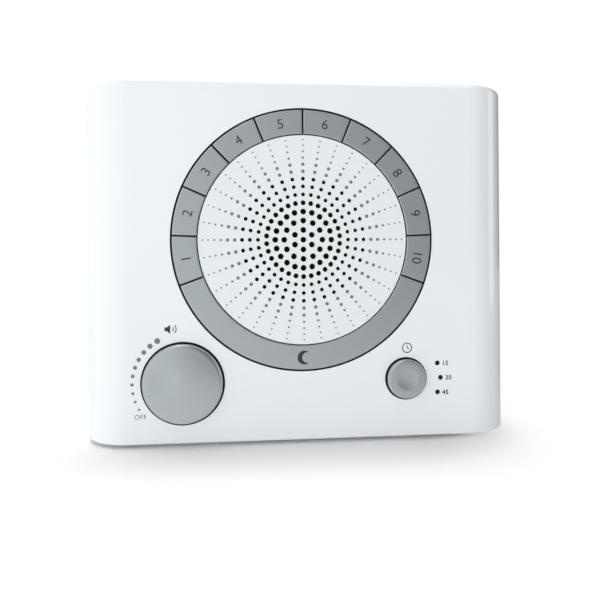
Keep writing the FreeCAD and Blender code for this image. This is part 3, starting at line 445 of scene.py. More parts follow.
def bevel(thing, width, segments=2, angle=38.0):
    """Rounds the edges that are sharper than an angle in degrees."""
    tool = thing.modifiers.new("bevel", "BEVEL")
    tool.width = width
    tool.segments = segments
    tool.limit_method = "ANGLE"
    tool.angle_limit = math.radians(angle)
    tool.use_clamp_overlap = True
    return settle(thing)


def piece(thing, body, material, nodes=()):
    """Gives a finished object its material and ties it to its body."""
    thing.data.materials.clear()
    thing.data.materials.append(MATERIALS[material])
    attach(thing, body)
    if nodes:
        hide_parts(*nodes)


def bare_sides(thing, depth):
    """Turns the faces deeper than a depth black: bare plastic where the paint ends, and painted shade in the
    gaps round the piece.
    """
    thing.data.materials.append(MATERIALS["black"])
    points = thing.data.vertices
    for face in thing.data.polygons:
        if min(points[corner].co.y for corner in face.vertices) > FRONT_Y + depth - 0.01 * MM:
            face.material_index = 1


def shade_gaps(thing, holes):
    """Paints the walls of round gaps black as painted shade, where no light reaches."""
    thing.data.materials.append(MATERIALS["black"])
    points = thing.data.vertices
    for face in thing.data.polygons:
        for centre, radius, _ in holes:
            reach = [math.hypot(points[corner].co.x - centre.x, points[corner].co.z - centre.z)
                     for corner in face.vertices]
            if max(reach) < radius + 0.05 * MM and min(reach) > radius - 0.3 * MM:
                face.material_index = 1


def arc(centre, radius, first, last, steps):
    """Points of an arc, from one angle to another in degrees."""
    turns = [math.radians(first + (last - first) * step / steps) for step in range(steps + 1)]
    return [(centre[0] + radius * math.cos(angle), centre[1] + radius * math.sin(angle)) for angle in turns]


def circle(centre, radius, sides):
    """Points (x, z) round a centre."""
    return arc((centre.x, centre.z), radius, 0, 360, sides)[:-1]


def spoke(angle, reach):
    """A step across the front, in a direction counted from the right over the top."""
    return Vector((reach * math.cos(angle), 0, reach * math.sin(angle)))


def bands(count, total, closed=True):
    """The faces between rings of points that follow each other, all of the same count."""
    last = count if closed else count - 1
    return [(base + step, base + (step + 1) % count, base + count + (step + 1) % count, base + count + step)
            for base in range(0, total - count, count) for step in range(last)]


def turned_mesh(name, profile, centre, sides=96):
    """Turns points of (radius, depth) about the Y direction through a centre."""
    points = []
    faces = []
    before = []
    for radius, depth in profile:
        count = sides if radius > 0 else 1
        ring = range(len(points), len(points) + count)
        points += [(x, FRONT_Y + depth, z) for x, z in circle(centre, radius, count)]
        for step in range(sides if before else 0):
            corners = (before[step % len(before)], before[(step + 1) % len(before)],
                       ring[(step + 1) % count], ring[step % count])
            if len(set(corners)) > 2:
                faces.append(tuple(dict.fromkeys(corners)))
        before = ring
    return finish_mesh(mesh_of(name, points, faces))


def prism_mesh(name, outline, near, far):
    """A closed prism along Y, from an outline of (x, z)."""
    count = len(outline)
    points = [(x, depth, z) for depth in (near, far) for x, z in outline]
    caps = [tuple(range(count))[::-1], tuple(range(count, 2 * count))]
    return finish_mesh(mesh_of(name, points, caps + bands(count, 2 * count)))


def rod_mesh(name, centre, radius, near, far, sides=64):
    """A closed round rod along Y."""
    return prism_mesh(name, circle(centre, radius, sides), near, far)


def box_mesh(name, low, high, round_by=0.0, steps=5):
    """A closed box, with its four edges along Y rounded."""
    outline = []
    for start, side, end in ((0, 1, 1), (90, -1, 1), (180, -1, -1), (270, 1, -1)):
        corner = ((high[0] if side > 0 else low[0]) - side * round_by,
                  (high[2] if end > 0 else low[2]) - end * round_by)
        outline += arc(corner, round_by, start, start + 90, steps) if round_by else [corner]
    return prism_mesh(name, outline, low[1], high[1])


# Case: two open shells whose plan is a rounded box
SUPPORT = 0.7 * MM
PLAN_STEPS = 22
EDGE_STEPS = 8


def plan_line(inset, corner, straight_y, split_y):
    """The plan of one shell, from its left end past its straight face to its right end."""
    half = HOUSING_HIGH.x - inset
    turn = 1 if straight_y < split_y else -1
    near_corner = straight_y + turn * corner
    inner = HOUSING_HIGH.x - corner
    line = [(-half, split_y), (-half, near_corner + turn * min(SUPPORT, abs(split_y - near_corner) / 2))]
    line += [(-inner + x, near_corner + turn * y)
             for x, y in arc((0, 0), corner - inset, 180, 270, PLAN_STEPS)]
    line.append((SUPPORT - inner, straight_y + turn * inset))
    return line + [(-x, y) for x, y in reversed(line)]


def shell_solid(corner, straight_y, split_y, wall=0.0):
    """A closed solid on one shell's plan with rounded bottom and top edges, or the hollow inside its wall."""
    levels = [(0.0, CASE_LOW + wall), (0.0, CASE_TOP - wall)]
    if not wall:
        base, top = settings().case.base_round, settings().case.top_round
        levels = [(base + SUPPORT, CASE_LOW)]
        levels += [(base + x, CASE_LOW + base + z) for x, z in arc((0, 0), base, 270, 180, EDGE_STEPS)]
        levels += [(0.0, CASE_LOW + base + SUPPORT), (0.0, CASE_TOP - top - SUPPORT)]
        levels += [(top + x, CASE_TOP - top + z) for x, z in arc((0, 0), top, 180, 90, EDGE_STEPS)]
        levels.append((top + SUPPORT, CASE_TOP))
    points = []
    for inset, height in levels:
        points += [(x, y, height) for x, y in plan_line(wall + inset, corner, straight_y, split_y)]
    count = len(points) // len(levels)
    starts = range(0, len(points), count)
    caps = [tuple(range(count)), tuple(range(starts[-1], len(points))),
            tuple([*starts] + [start + count - 1 for start in reversed(starts)])]
    return finish_mesh(mesh_of("shell", points, bands(count, len(points), closed=False) + caps))


def openings():
    """The middle, the radius and the sides of the three large openings in the front."""
    dial, controls = settings().dial, settings().controls
    return ((DIAL, dial.key_radius + dial.ring_gap, 192),
            (KNOB, controls.knob_radius + controls.knob_gap, 128),
            (TIMER, controls.button_radius + controls.button_gap, 96))


def lamp_places():
    """The places of the timer lamps, from the top down."""
    controls = settings().controls
    return [TIMER + spoke(step * controls.lamp_step, controls.lamp_arc) for step in (1, 0, -1)]


def screw_places():
    """The four places of the case screws, from the box that holds them."""
    radius = (SCREW_HIGH.x - SCREW_LOW.x - 2 * (HOUSING_HIGH.x - settings().case.corner_round)) / 2
    return [Vector((x, 0, z)) for x in (SCREW_LOW.x + radius, SCREW_HIGH.x - radius)
            for z in (SCREW_LOW.z + radius, SCREW_HIGH.z - radius)]


# Play of a timer lamp in its hole, and the collar behind the knob's opening
LAMP_PLAY = 0.1 * MM
COLLAR_THICK = 1.2 * MM
COLLAR_DEEP = 5.0 * MM
COLLAR_LAP = 0.2 * MM


class SOUNDMACHINE_OT_front_housing(bpy.types.Operator):
    """Makes the front housing with its round openings, and the collar behind the knob's opening"""

    bl_idname = "soundmachine.front_housing"
    bl_label = "Front housing"

    def execute(self, context):
        case = settings().case
        holes = openings()
        body = new_object("front_housing_shell",
                          shell_solid(case.corner_round, FRONT_Y, SPLIT_Y - case.seam / 2))
        body = cut(body, shell_solid(case.corner_round, FRONT_Y, SPLIT_Y + OVER, case.wall))
        near, far = FRONT_Y - OVER, FRONT_Y + case.wall + OVER
        rods = [rod_mesh("opening", *hole[:2], near, far, hole[2]) for hole in holes]
        lamp_hole = settings().controls.lamp_radius + LAMP_PLAY
        rods += [rod_mesh("lamp", place, lamp_hole, near, far, 32) for place in lamp_places()]
        body = bevel(cut(body, join_meshes("openings", rods)), case.rim_bevel)
        finish_mesh(body.data, CRISP_SHELL)
        piece(body, "case", "white", ["front_housing"])
        # The walls of the three openings get black as painted shade.
        shade_gaps(body, holes)

        bore = holes[1][1]
        outer = bore + COLLAR_THICK
        near, far = case.wall - COLLAR_LAP, COLLAR_DEEP
        profile = [(bore, near), (bore, far), (outer, far), (outer, near), (bore, near)]
        collar = new_object("knob_collar", turned_mesh("collar", profile, KNOB))
        piece(collar, "case", "white")
        # The collar's bore gets black as painted shade in the gap round the knob.
        shade_gaps(collar, holes[1:2])
        return {"FINISHED"}


# Battery bay, and the holes and screw sleeves of the rear cover
DOOR_GAP = 0.3 * MM
REBATE_ROUND = 1.2 * MM
BAY_LAP = 2.6 * MM
BAY_WALL = 1.6 * MM
BAY_DEEP = 15.1 * MM
BAY_PLAY = 0.12 * MM
LEDGE_WIDE = 2.0 * MM
LEDGE_PLAY = 0.1 * MM
HEAD_HOLE = 2.9 * MM
SHANK_HOLE = 1.6 * MM
INLET_HOLE = 4.4 * MM
SLEEVE_THICK = 0.7 * MM
SLEEVE_SEAT = 4.4 * MM
SLEEVE_START = 0.2 * MM
SLEEVE_SHORT = 0.3 * MM


class SOUNDMACHINE_OT_rear_cover(bpy.types.Operator):
    """Makes the rear cover, its battery bay and the sleeves of its screws"""

    bl_idname = "soundmachine.rear_cover"
    bl_label = "Rear cover"

    def execute(self, context):
        case = settings().case
        places = screw_places()
        contacts_low, contacts_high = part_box("battery_contacts")
        low = Vector((contacts_low.x, DOOR_LOW.y, DOOR_LOW.z + BAY_LAP))
        high = Vector((contacts_high.x, DOOR_LOW.y + OVER, DOOR_HIGH.z - BAY_LAP))
        body = new_object("rear_cover_shell",
                          shell_solid(case.back_round, BACK_Y, SPLIT_Y + case.seam / 2))
        body = cut(body, shell_solid(case.back_round, BACK_Y, SPLIT_Y - OVER, case.wall))
        near, far = SPLIT_Y - OVER, BACK_Y + OVER
        cutters = [rod_mesh("head", place, HEAD_HOLE, near, far, 40) for place in places]
        cutters.append(rod_mesh("inlet", JACK, INLET_HOLE, near, far))
        cutters.append(box_mesh("rebate", (PLATE_LOW.x - DOOR_GAP, DOOR_LOW.y, DOOR_LOW.z - DOOR_GAP),
                                (PLATE_HIGH.x + DOOR_GAP, far, DOOR_HIGH.z + DOOR_GAP), REBATE_ROUND))
        body = cut(body, join_meshes("holes", cutters))
        body = cut(body, box_mesh("mouth", (low.x, SPLIT_Y, low.z), (high.x, far, high.z)))
        body = bevel(body, case.rim_bevel)
        finish_mesh(body.data, CRISP_SHELL)
        piece(body, "case", "white", ["rear_cover"])

        wall = Vector((BAY_WALL, BAY_WALL, BAY_WALL))
        deep = Vector((0, BAY_DEEP, 0))
        corner = (high.x + BAY_WALL, DOOR_LOW.y - BAY_PLAY, high.z + BAY_WALL)
        bay = new_object("bay", box_mesh("bay", low - deep - wall, corner))
        bay = cut(bay, box_mesh("room", low - deep, high))
        ledge = new_object("ledge", box_mesh(
            "ledge", (PLATE_LOW.x - LEDGE_WIDE, DOOR_LOW.y - BAY_WALL, DOOR_LOW.z - LEDGE_WIDE),
            (PLATE_HIGH.x + LEDGE_WIDE, DOOR_LOW.y - LEDGE_PLAY, DOOR_HIGH.z + LEDGE_WIDE)))
        ledge = cut(ledge, box_mesh("hole", low - Vector((0, OVER, 0)), high))
        walls = new_object("battery_bay_walls", join_meshes("bay_walls", [bay.data, ledge.data]))
        for part in (bay, ledge):
            bpy.data.objects.remove(part)
        finish_mesh(walls.data, CRISP_TURNED)
        piece(walls, "case", "white")

        near, seat = SPLIT_Y - FRONT_Y + SLEEVE_START, SPLIT_Y - FRONT_Y + SLEEVE_SEAT
        far = BACK_Y - FRONT_Y - SLEEVE_SHORT
        outer = HEAD_HOLE + SLEEVE_THICK
        profile = [(HEAD_HOLE, seat), (HEAD_HOLE, far), (outer, far), (outer, near), (SHANK_HOLE, near),
                   (SHANK_HOLE, seat), (HEAD_HOLE, seat)]
        sleeves = [turned_mesh("sleeve", profile, place, 40) for place in places]
        piece(new_object("screw_sleeves", join_meshes("sleeves", sleeves)), "case", "white")
        return {"FINISHED"}


# Edges, finger grip, ribs and pins of the battery door
DOOR_SOFT = 0.3 * MM
GRIP_RADIUS = 6.5 * MM
GRIP_DROP = 5.0 * MM
GRIP_DEEP = 0.5 * MM
RIB_COUNT = 4
RIB_STEP = 2.0 * MM
RIB_START = 8.0 * MM
RIB_HALF = Vector((4.6, 0, 0.35)) * MM
RIB_ROOT = Vector((0, 0.6, 0)) * MM
RIB_TOP = Vector((0, 0.12, 0)) * MM
RIB_SOFT = 0.3 * MM
PIN_RADIUS = 0.6 * MM
PIN_PLAY = 0.05 * MM


class SOUNDMACHINE_OT_battery_door(bpy.types.Operator):
    """Makes the battery door with its round hinge edge, pins and grip ribs"""

    bl_idname = "soundmachine.battery_door"
    bl_label = "Battery door"

    def execute(self, context):
        low, high = PLATE_LOW, PLATE_HIGH
        edge = (high.y - low.y) / 2
        axis = Vector((low.y + edge, 0, low.z + edge))
        outline = [(high.y, high.z), (low.y, high.z)] + arc((axis.x, axis.z), edge, 180, 360, 16)
        plate = prism_mesh("plate", outline, -high.x, -low.x)
        plate.transform(Matrix.Rotation(math.radians(90), 4, "Z"))
        plate = bevel(new_object("plate", plate), DOOR_SOFT, 2, 60.0)
        grip = Vector((0, 0, high.z - GRIP_DROP))
        plate = cut(plate, rod_mesh("grip", grip, GRIP_RADIUS, high.y - GRIP_DEEP, high.y + OVER, 72))
        parts = [plate.data]
        for step in range(RIB_COUNT):
            place = Vector((0, high.y, high.z + step * RIB_STEP - RIB_START))
            parts.append(box_mesh("rib", place - RIB_HALF - RIB_ROOT, place + RIB_HALF - RIB_TOP,
                                  RIB_SOFT, 3))
        for side in (-1, 1):
            pin = rod_mesh("pin", Vector(), PIN_RADIUS, 0, PIN_REACH - PIN_PLAY, 24)
            pin.transform(Matrix.Rotation(math.radians(-90 * side), 4, "Z"))
            pin.transform(Matrix.Translation((side * high.x, axis.x, axis.z)))
            parts.append(pin)
        body = new_object("battery_door_plate", join_meshes("door", parts))
        bpy.data.objects.remove(plate)
        finish_mesh(body.data, CRISP_SHELL)
        piece(body, "door", "white", ["battery_door"])
        return {"FINISHED"}


# Geometry Nodes trees
class Tree(Nodes):
    """A Geometry Nodes tree with named inputs."""

    def __init__(self, name):
        super().__init__(bpy.data.node_groups.new(name, "GeometryNodeTree"))
        self.tree.interface.new_socket("Geometry", in_out="OUTPUT", socket_type="NodeSocketGeometry")
        self.source = self.tree.nodes.new("NodeGroupInput")
        self.values = {}

    def input(self, name, value, kind="NodeSocketFloat"):
        """A named input of the tree, with the value that the modifier gives it."""
        socket = self.tree.interface.new_socket(name, in_out="INPUT", socket_type=kind)
        self.values[socket.identifier] = value
        return Wire(self, self.source.outputs[name])

    def build(self, name, result, material):
        """Runs the tree on a new object and returns it as a plain mesh object."""
        real = self.node("GeometryNodeRealizeInstances", {"Geometry": result})
        done = self.node("GeometryNodeSetMaterial", {"Geometry": real, "Material": MATERIALS[material]})
        self.node("NodeGroupOutput", [done])
        thing = new_object(name, bpy.data.meshes.new(name))
        tool = thing.modifiers.new("nodes", "NODES")
        tool.node_group = self.tree
        for identifier, value in self.values.items():
            tool[identifier] = value
        return settle(thing)

    def moved(self, geometry, place=(0, 0, 0), turn=(0, 0, 0)):
        return self.node("GeometryNodeTransform", {
            "Geometry": geometry, "Translation": place, "Rotation": turn})

    def to_front(self, geometry, centre, depth):
        """Stands flat geometry up to face the front, at a depth behind the front face."""
        return self.moved(geometry, (centre.x, FRONT_Y + depth, centre.z), (math.radians(90), 0, 0))

    def grid(self, across, along):
        """The four corner points of a flat rectangle."""
        return self.node("GeometryNodeMeshGrid", {
            "Size X": across, "Size Y": along, "Vertices X": 2, "Vertices Y": 2})

    def copies(self, points, shape, **more):
        return self.node("GeometryNodeInstanceOnPoints", {"Points": points, "Instance": shape, **more})

    def joined(self, parts):
        return self.node("GeometryNodeJoinGeometry", {0: parts})

    def disc(self, sides, radius, rise):
        return self.node("GeometryNodeMeshCylinder", {"Vertices": sides, "Radius": radius, "Depth": rise},
                         fill_type="NGON")

    def ring(self, number, shape, count):
        """Copies of a shape on one ring of the grille. The rings of 6 and 30 holes start at the top."""
        radius = self.step * float(number) - self.crowd * float(number * number)
        points = self.node("GeometryNodeMeshCircle", {"Vertices": count, "Radius": radius})
        start = math.radians(90) if number in (1, 4) else 0.0
        return self.copies(self.moved(points, turn=(0, 0, start)), shape)

    def add_ring_inputs(self):
        dial = settings().dial
        self.step = self.input("Hole step", dial.hole_step)
        self.crowd = self.input("Hole crowding", dial.hole_crowd)


# Round edge of the grille, and the barrel behind it
GRILLE_SOFT = 0.25 * MM
BARREL_INSET = 1.2 * MM
BARREL_THICK = 1.5 * MM


class SOUNDMACHINE_OT_grille(bpy.types.Operator):
    """Makes the grille disc with its round perforations, and the barrel behind it"""

    bl_idname = "soundmachine.grille"
    bl_label = "Grille"

    def execute(self, context):
        dial = settings().dial
        wall = settings().case.wall
        radius = dial.key_radius - dial.key_wide - dial.disc_gap
        soft = GRILLE_SOFT
        tree = Tree("perforated disc")
        tree.add_ring_inputs()
        sides = tree.input("Hole sides", dial.hole_sides, "NodeSocketInt")
        thick = tree.input("Disc thickness", dial.disc_thick)
        rim = tree.input("Disc radius", radius - soft)
        large, medium, small = [
            tree.node("GeometryNodeCurvePrimitiveCircle", {"Resolution": sides, "Radius": tree.input(*value)})
            for value in (("Hole radius", dial.hole_radius), ("Middle hole radius", dial.hole_middle),
                          ("Small hole radius", dial.hole_small))]
        parts = [large, tree.node("GeometryNodeCurvePrimitiveCircle", {"Resolution": 192, "Radius": rim})]
        for number, count in enumerate(RING_HOLES, 1):
            shape = large if number <= 3 else medium if number == 4 else small
            parts.append(tree.ring(number, shape, count))
        curves = tree.node("GeometryNodeRealizeInstances", {"Geometry": tree.joined(parts)})
        face = tree.node("GeometryNodeFillCurve", {"Curve": curves})
        back = tree.node("GeometryNodeFlipFaces", {"Mesh": face})
        front = tree.node("GeometryNodeExtrudeMesh", {
            "Mesh": face, "Offset Scale": thick, "Individual": False})
        both = tree.node("GeometryNodeMergeByDistance", {
            "Geometry": tree.joined([front, back]), "Distance": 1e-6})
        plate = tree.build("grille_plate", tree.to_front(both, DIAL, dial.disc_thick), "disc")
        finish_mesh(plate.data, CRISP_TURNED)
        piece(plate, "case", "disc", ["grille_frame"])

        key_depth = KEY_HIGH.y - FRONT_Y
        outer = radius - BARREL_INSET
        inner = outer - BARREL_THICK
        profile = [(radius - soft, dial.disc_thick), (radius - soft, 0)]
        profile += arc((radius - soft, soft), soft, 270, 360, 4)[1:]
        profile += [(radius, wall), (outer, wall), (outer, key_depth), (inner, key_depth),
                    (inner, dial.disc_thick), (radius - soft, dial.disc_thick)]
        barrel = new_object("grille_barrel", turned_mesh("barrel", profile, DIAL, 192))
        piece(barrel, "case", "disc")
        return {"FINISHED"}


class SOUNDMACHINE_OT_grille_print(bpy.types.Operator):
    """Prints the rings of grey dots that carry the pattern on outside the holes"""

    bl_idname = "soundmachine.grille_print"
    bl_label = "Grille dots"

    def execute(self, context):
        prints = settings().prints
        tree = Tree("printed dots")
        tree.add_ring_inputs()
        rise = tree.input("Ink rise", prints.ink_rise)
        parts = []
        for number, share in zip(PRINTED_RINGS, PRINTED_SHARES):
            radius = tree.input("Dot radius %d" % number, prints.ring_dot * share)
            parts.append(tree.ring(number, tree.disc(16, radius, rise), PRINTED_COUNT))
        dots = tree.to_front(tree.joined(parts), DIAL, -prints.ink_rise / 2)
        piece(tree.build("grille_dots", dots, "pale_ink"), "case", "pale_ink")
        return {"FINISHED"}


# Dots of the volume scale, and the angles in degrees of the loudest dot and from there to the quietest
SCALE_COUNT = 10
SCALE_START = 120
SCALE_SWEEP = 90


class SOUNDMACHINE_OT_volume_print(bpy.types.Operator):
    """Prints the growing dots round the volume knob"""

    bl_idname = "soundmachine.volume_print"
    bl_label = "Volume scale"

    def execute(self, context):
        prints = settings().prints
        tree = Tree("volume scale")
        radius = tree.input("Scale arc", prints.scale_arc)
        large = tree.input("Largest dot", prints.scale_large)
        small = tree.input("Smallest dot", prints.scale_small)
        points = tree.node("GeometryNodeMeshLine", {"Count": SCALE_COUNT, "Offset": (0, 0, 0)})
        share = tree.node("GeometryNodeInputIndex") * (1.0 / (SCALE_COUNT - 1))
        angle = share * math.radians(SCALE_SWEEP) + math.radians(SCALE_START)
        place = tree.node("ShaderNodeCombineXYZ", [
            angle.math("COSINE") * radius, angle.math("SINE") * radius])
        placed = tree.node("GeometryNodeSetPosition", {"Geometry": points, "Position": place})
        size = large + share.math("POWER", 0.8) * (small - large)
        scale = tree.node("ShaderNodeCombineXYZ", [size, size, 1.0])
        dots = tree.copies(placed, tree.disc(24, 1.0, prints.ink_rise), Scale=scale)
        stood = tree.to_front(dots, KNOB, -prints.ink_rise / 2)
        piece(tree.build("volume_dots", stood, "pale_ink"), "case", "pale_ink")
        return {"FINISHED"}


# Keys: ring sectors with rounded front edges, on a hidden lip with posts
LIP_DEPTH = 0.3 * MM
LIP_THICK = 1.2 * MM
LIP_IN = 1.1 * MM
LIP_OUT = 1.5 * MM
POST_HALF = 1.5 * MM
NIGHT_POSTS = (-50, 0, 50)


def sector_mesh(name, inner, outer, half, steps, levels):
    """A ring sector about the X direction, stacked from levels of (draw-in from the edges, depth)."""
    split = settings().dial.key_split
    points = []
    for offset, depth in levels:
        for radius, order in ((outer - offset, 1), (inner + offset, -1)):
            reach = half - math.asin((split / 2 + offset) / radius)
            angles = [order * (-reach + 2 * reach * step / steps) for step in range(steps + 1)]
            points += [(radius * math.cos(angle), depth, radius * math.sin(angle)) for angle in angles]
    count = 2 * (steps + 1)
    caps = [(base + step, base + step + 1, base + count - 2 - step, base + count - 1 - step)
            for base in (0, len(points) - count) for step in range(steps)]
    return finish_mesh(mesh_of(name, points, bands(count, len(points)) + caps), CRISP_TURNED)


def key_mesh(node, angle, half, posts, steps):
    """The cap, the lip and the posts of one key, at its place in the dial."""
    dial = settings().dial
    inner, outer, soft = dial.key_radius - dial.key_wide, dial.key_radius, dial.key_bevel
    front = KEY_LOW.y - FRONT_Y
    lip = settings().case.wall + LIP_DEPTH
    levels = [(soft * 2.5, front)]
    levels += [(soft + x, front + soft + y) for x, y in arc((0, 0), soft, 270, 180, 4)]
    levels += [(0.0, 0.0), (0.0, lip), (0.0, lip + LIP_THICK)]
    inside, short = 0.02 * MM, 0.08 * MM
    meshes = [sector_mesh(node, inner, outer, half, steps, levels),
              sector_mesh("lip", inner - LIP_IN, outer + LIP_OUT, half, steps,
                          [(inside, lip + inside), (inside, lip + LIP_THICK - short)])]
    for turn in posts:
        post = box_mesh("post", (-POST_HALF, lip + inside, -POST_HALF),
                        (POST_HALF, KEY_HIGH.y - FRONT_Y, POST_HALF))
        post.transform(Matrix.Translation(((inner + outer) / 2, 0, 0)))
        post.transform(Matrix.Rotation(math.radians(-turn), 4, "Y"))
        meshes.append(post)
    mesh = join_meshes(node + "_cap", meshes)
    mesh.transform(Matrix.Rotation(-angle, 4, "Y"))
    mesh.transform(Matrix.Translation((DIAL.x, FRONT_Y, DIAL.z)))
    return mesh


def night_half():
    """Half the angle of the long key, which fills what the sound keys leave of the ring."""
    return math.pi - KEY_COUNT * settings().dial.key_step / 2


def key_angle(number):
    """The direction of a key, counted from the lower left over the top."""
    return math.radians(270) - night_half() - settings().dial.key_step * (number - 0.5)


class SOUNDMACHINE_OT_keys(bpy.types.Operator):
    """Makes the ten sound keys and the long night-light key"""

    bl_idname = "soundmachine.keys"
    bl_label = "Keys"

    def execute(self, context):
        made = [("sound_key_%d" % number, "key_%d" % number, key_angle(number),
                 settings().dial.key_step / 2, (0,), 22) for number in range(1, KEY_COUNT + 1)]
        made.append(("night_light_key", "night_key", math.radians(270), night_half(), NIGHT_POSTS, 120))
        for node, body, *shape in made:
            cap = new_object(node + "_cap", key_mesh(node, *shape))
            piece(cap, body, "silver", [node])
            # Sides behind the front face go black: bare plastic, and painted shade in the gaps between the
            # keys.
            bare_sides(cap, 0.0)
        return {"FINISHED"}


# Rim and end of the finger dimple, in shares of its depth and its radius
DIMPLE_RIM_HIGH = 0.05
DIMPLE_RIM_WIDE = 0.12
DIMPLE_END = 1.15


class SOUNDMACHINE_OT_volume_knob(bpy.types.Operator):
    """Makes the domed volume knob with its finger dimple"""

    bl_idname = "soundmachine.volume_knob"
    bl_label = "Volume knob"

    def execute(self, context):
        controls = settings().controls
        radius, soft, dome = controls.knob_radius, controls.knob_soft, controls.knob_dome
        top, back = KNOB_LOW.y - FRONT_Y, KNOB_HIGH.y - FRONT_Y
        curve = (radius * radius + dome * dome) / (2 * dome)
        rings = 64
        profile = []
        for step in range(rings + 1):
            out = (radius - soft) * step / rings
            profile.append((out, top + curve - math.sqrt(curve * curve - out * out)))
        edge = profile[-1][1]
        profile += arc((radius - soft, edge + soft), soft, 270, 360, 8)[1:]
        # Below this depth the knob's side is black: bare plastic, and painted shade in the gap round the
        # knob.
        paint = -0.5 * MM
        skirt = 5.0 * MM
        skin = 2.0 * MM
        inside = top + dome + skin
        hub, bore = 5.0 * MM, 3.05 * MM
        profile += [(radius, paint), (radius, skirt), (radius - skin, skirt), (radius - skin, inside),
                    (hub, inside), (hub, back), (bore, back), (bore, inside), (0, inside)]
        mesh = turned_mesh("volume_knob_cap", profile, KNOB, 160)
        spot = KNOB + spoke(controls.dimple_angle, controls.dimple_out)
        for vertex in mesh.vertices:
            away = math.hypot(vertex.co.x - spot.x, vertex.co.z - spot.z) / controls.dimple_radius
            if away < DIMPLE_END and vertex.co.y < FRONT_Y + edge + 0.05 * MM:
                rim = DIMPLE_RIM_HIGH * math.exp(-((away - 1) / DIMPLE_RIM_WIDE) ** 2)
                vertex.co.y += controls.dimple_deep * (max(0.0, 1 - away * away) + rim)
        mesh.update()
        cap = new_object("volume_knob_cap", mesh)
        piece(cap, "knob", "silver", ["volume_knob"])
        bare_sides(cap, paint)
        return {"FINISHED"}


class SOUNDMACHINE_OT_timer_button(bpy.types.Operator):
    """Makes the timer button with its dished top"""

    bl_idname = "soundmachine.timer_button"
    bl_label = "Timer button"

    def execute(self, context):
        controls = settings().controls
        radius, dish = controls.button_radius, controls.button_dish
        top, back = BUTTON_LOW.y - FRONT_Y, BUTTON_HIGH.y - FRONT_Y
        dish_deep = 0.55 * MM
        steps = 14
        profile = [(dish * step / steps, top + dish_deep * (1 - (step / steps) ** 2))
                   for step in range(steps + 1)]
        rim, shoulder = 0.25 * MM, 1.25 * MM
        profile.append((dish + rim, top))
        profile += arc((radius - shoulder, top + shoulder), shoulder, 270, 360, 10)
        # Below this depth the button's side is black: bare plastic, and painted shade in the gap round the
        # button.
        paint = -0.4 * MM
        lip, lip_radius = settings().case.wall + LIP_DEPTH, radius + 1.4 * MM
        stem = 1.5 * MM
        profile += [(radius, paint), (radius, lip), (lip_radius, lip), (lip_radius, lip + LIP_THICK),
                    (stem, lip + LIP_THICK), (stem, back), (0, back)]
        cap = new_object("timer_button_cap", turned_mesh("timer_button_cap", profile, TIMER, 128))
        piece(cap, "timer_key", "silver", ["timer_button"])
        bare_sides(cap, paint)
        return {"FINISHED"}


class SOUNDMACHINE_OT_lamps(bpy.types.Operator):
    """Makes the three timer lamps"""

    bl_idname = "soundmachine.lamps"
    bl_label = "Timer lamps"

    def execute(self, context):
        radius = settings().controls.lamp_radius
        long = 12 * MM
        dome = ((0, 0.12), (0.35, 0.13), (0.7, 0.2), (1, 0.45))
        profile = [(radius * share, depth * MM) for share, depth in dome]
        profile += [(radius, long), (0, long)]
        meshes = [turned_mesh("lamp", profile, place, 28) for place in lamp_places()]
        made = new_object("timer_lamps", join_meshes("timer_lamps", meshes))
        piece(made, "case", "lens", ["timer_leds"])
        return {"FINISHED"}


# Printing: sizes of the plain signs, and places from the lamps and the middles of the knob and the button
MOON_SIZE = 2.9 * MM
LOUDSPEAKER_SIZE = 2.3 * MM
CLOCK_SIZE = 2.0 * MM
NUMBER_FROM_LAMP = Vector((3.4, 0, 0)) * MM
WORD_FROM_KNOB = Vector((-17.2, 0, -13.2)) * MM
LOUDSPEAKER_FROM_KNOB = Vector((-5.0, 0, 22.5)) * MM
CLOCK_FROM_BUTTON = Vector((0.6, 0, 13.0)) * MM

# Size of the font for a numeral of height one, and the spacing and extra weight of the smallest print
FONT_SIZE = 1.38
WIDE_SPACING = 1.1
EXTRA_WEIGHT = 0.035


def stand_up(mesh, place, depth, angle=0.0):
    """Turns a flat mesh by an angle and stands it on the front, at a depth."""
    mesh.transform(Matrix.Rotation(angle, 4, "Z"))
    mesh.transform(Matrix.Rotation(math.radians(90), 4, "X"))
    mesh.transform(Matrix.Translation((place.x, FRONT_Y + depth, place.z)))
    return mesh


def letters(text, height, spacing=1.0, weight=0.0):
    """Flat letters about the origin, as a thin mesh."""
    curve = bpy.data.curves.new(text, "FONT")
    curve.body = text
    curve.size = height * FONT_SIZE
    curve.align_x = "CENTER"
    curve.space_character = spacing
    curve.offset = height * weight
    curve.extrude = settings().prints.ink_rise / 2
    curve.resolution_u = 6
    mesh = baked_mesh(new_object(text, curve))
    mesh.transform(Matrix.Translation((0, -height / 2, 0)))
    return mesh


def thick_mesh(name, points, faces):
    """A flat mesh given the thickness of ink."""
    rise = settings().prints.ink_rise
    work = bmesh.new()
    mesh = mesh_of(name, [(x, y, 0) for x, y in points], faces)
    work.from_mesh(mesh)
    bmesh.ops.recalc_face_normals(work, faces=work.faces)
    made = bmesh.ops.extrude_face_region(work, geom=work.faces[:])
    moved = [item for item in made["geom"] if isinstance(item, bmesh.types.BMVert)]
    bmesh.ops.translate(work, verts=moved, vec=(0, 0, rise))
    bmesh.ops.translate(work, verts=work.verts, vec=(0, 0, -rise / 2))
    bmesh.ops.recalc_face_normals(work, faces=work.faces)
    work.to_mesh(mesh)
    work.free()
    return mesh


def patch_mesh(name, line):
    """A flat patch inside a line of points."""
    return thick_mesh(name, line, [tuple(range(len(line)))])


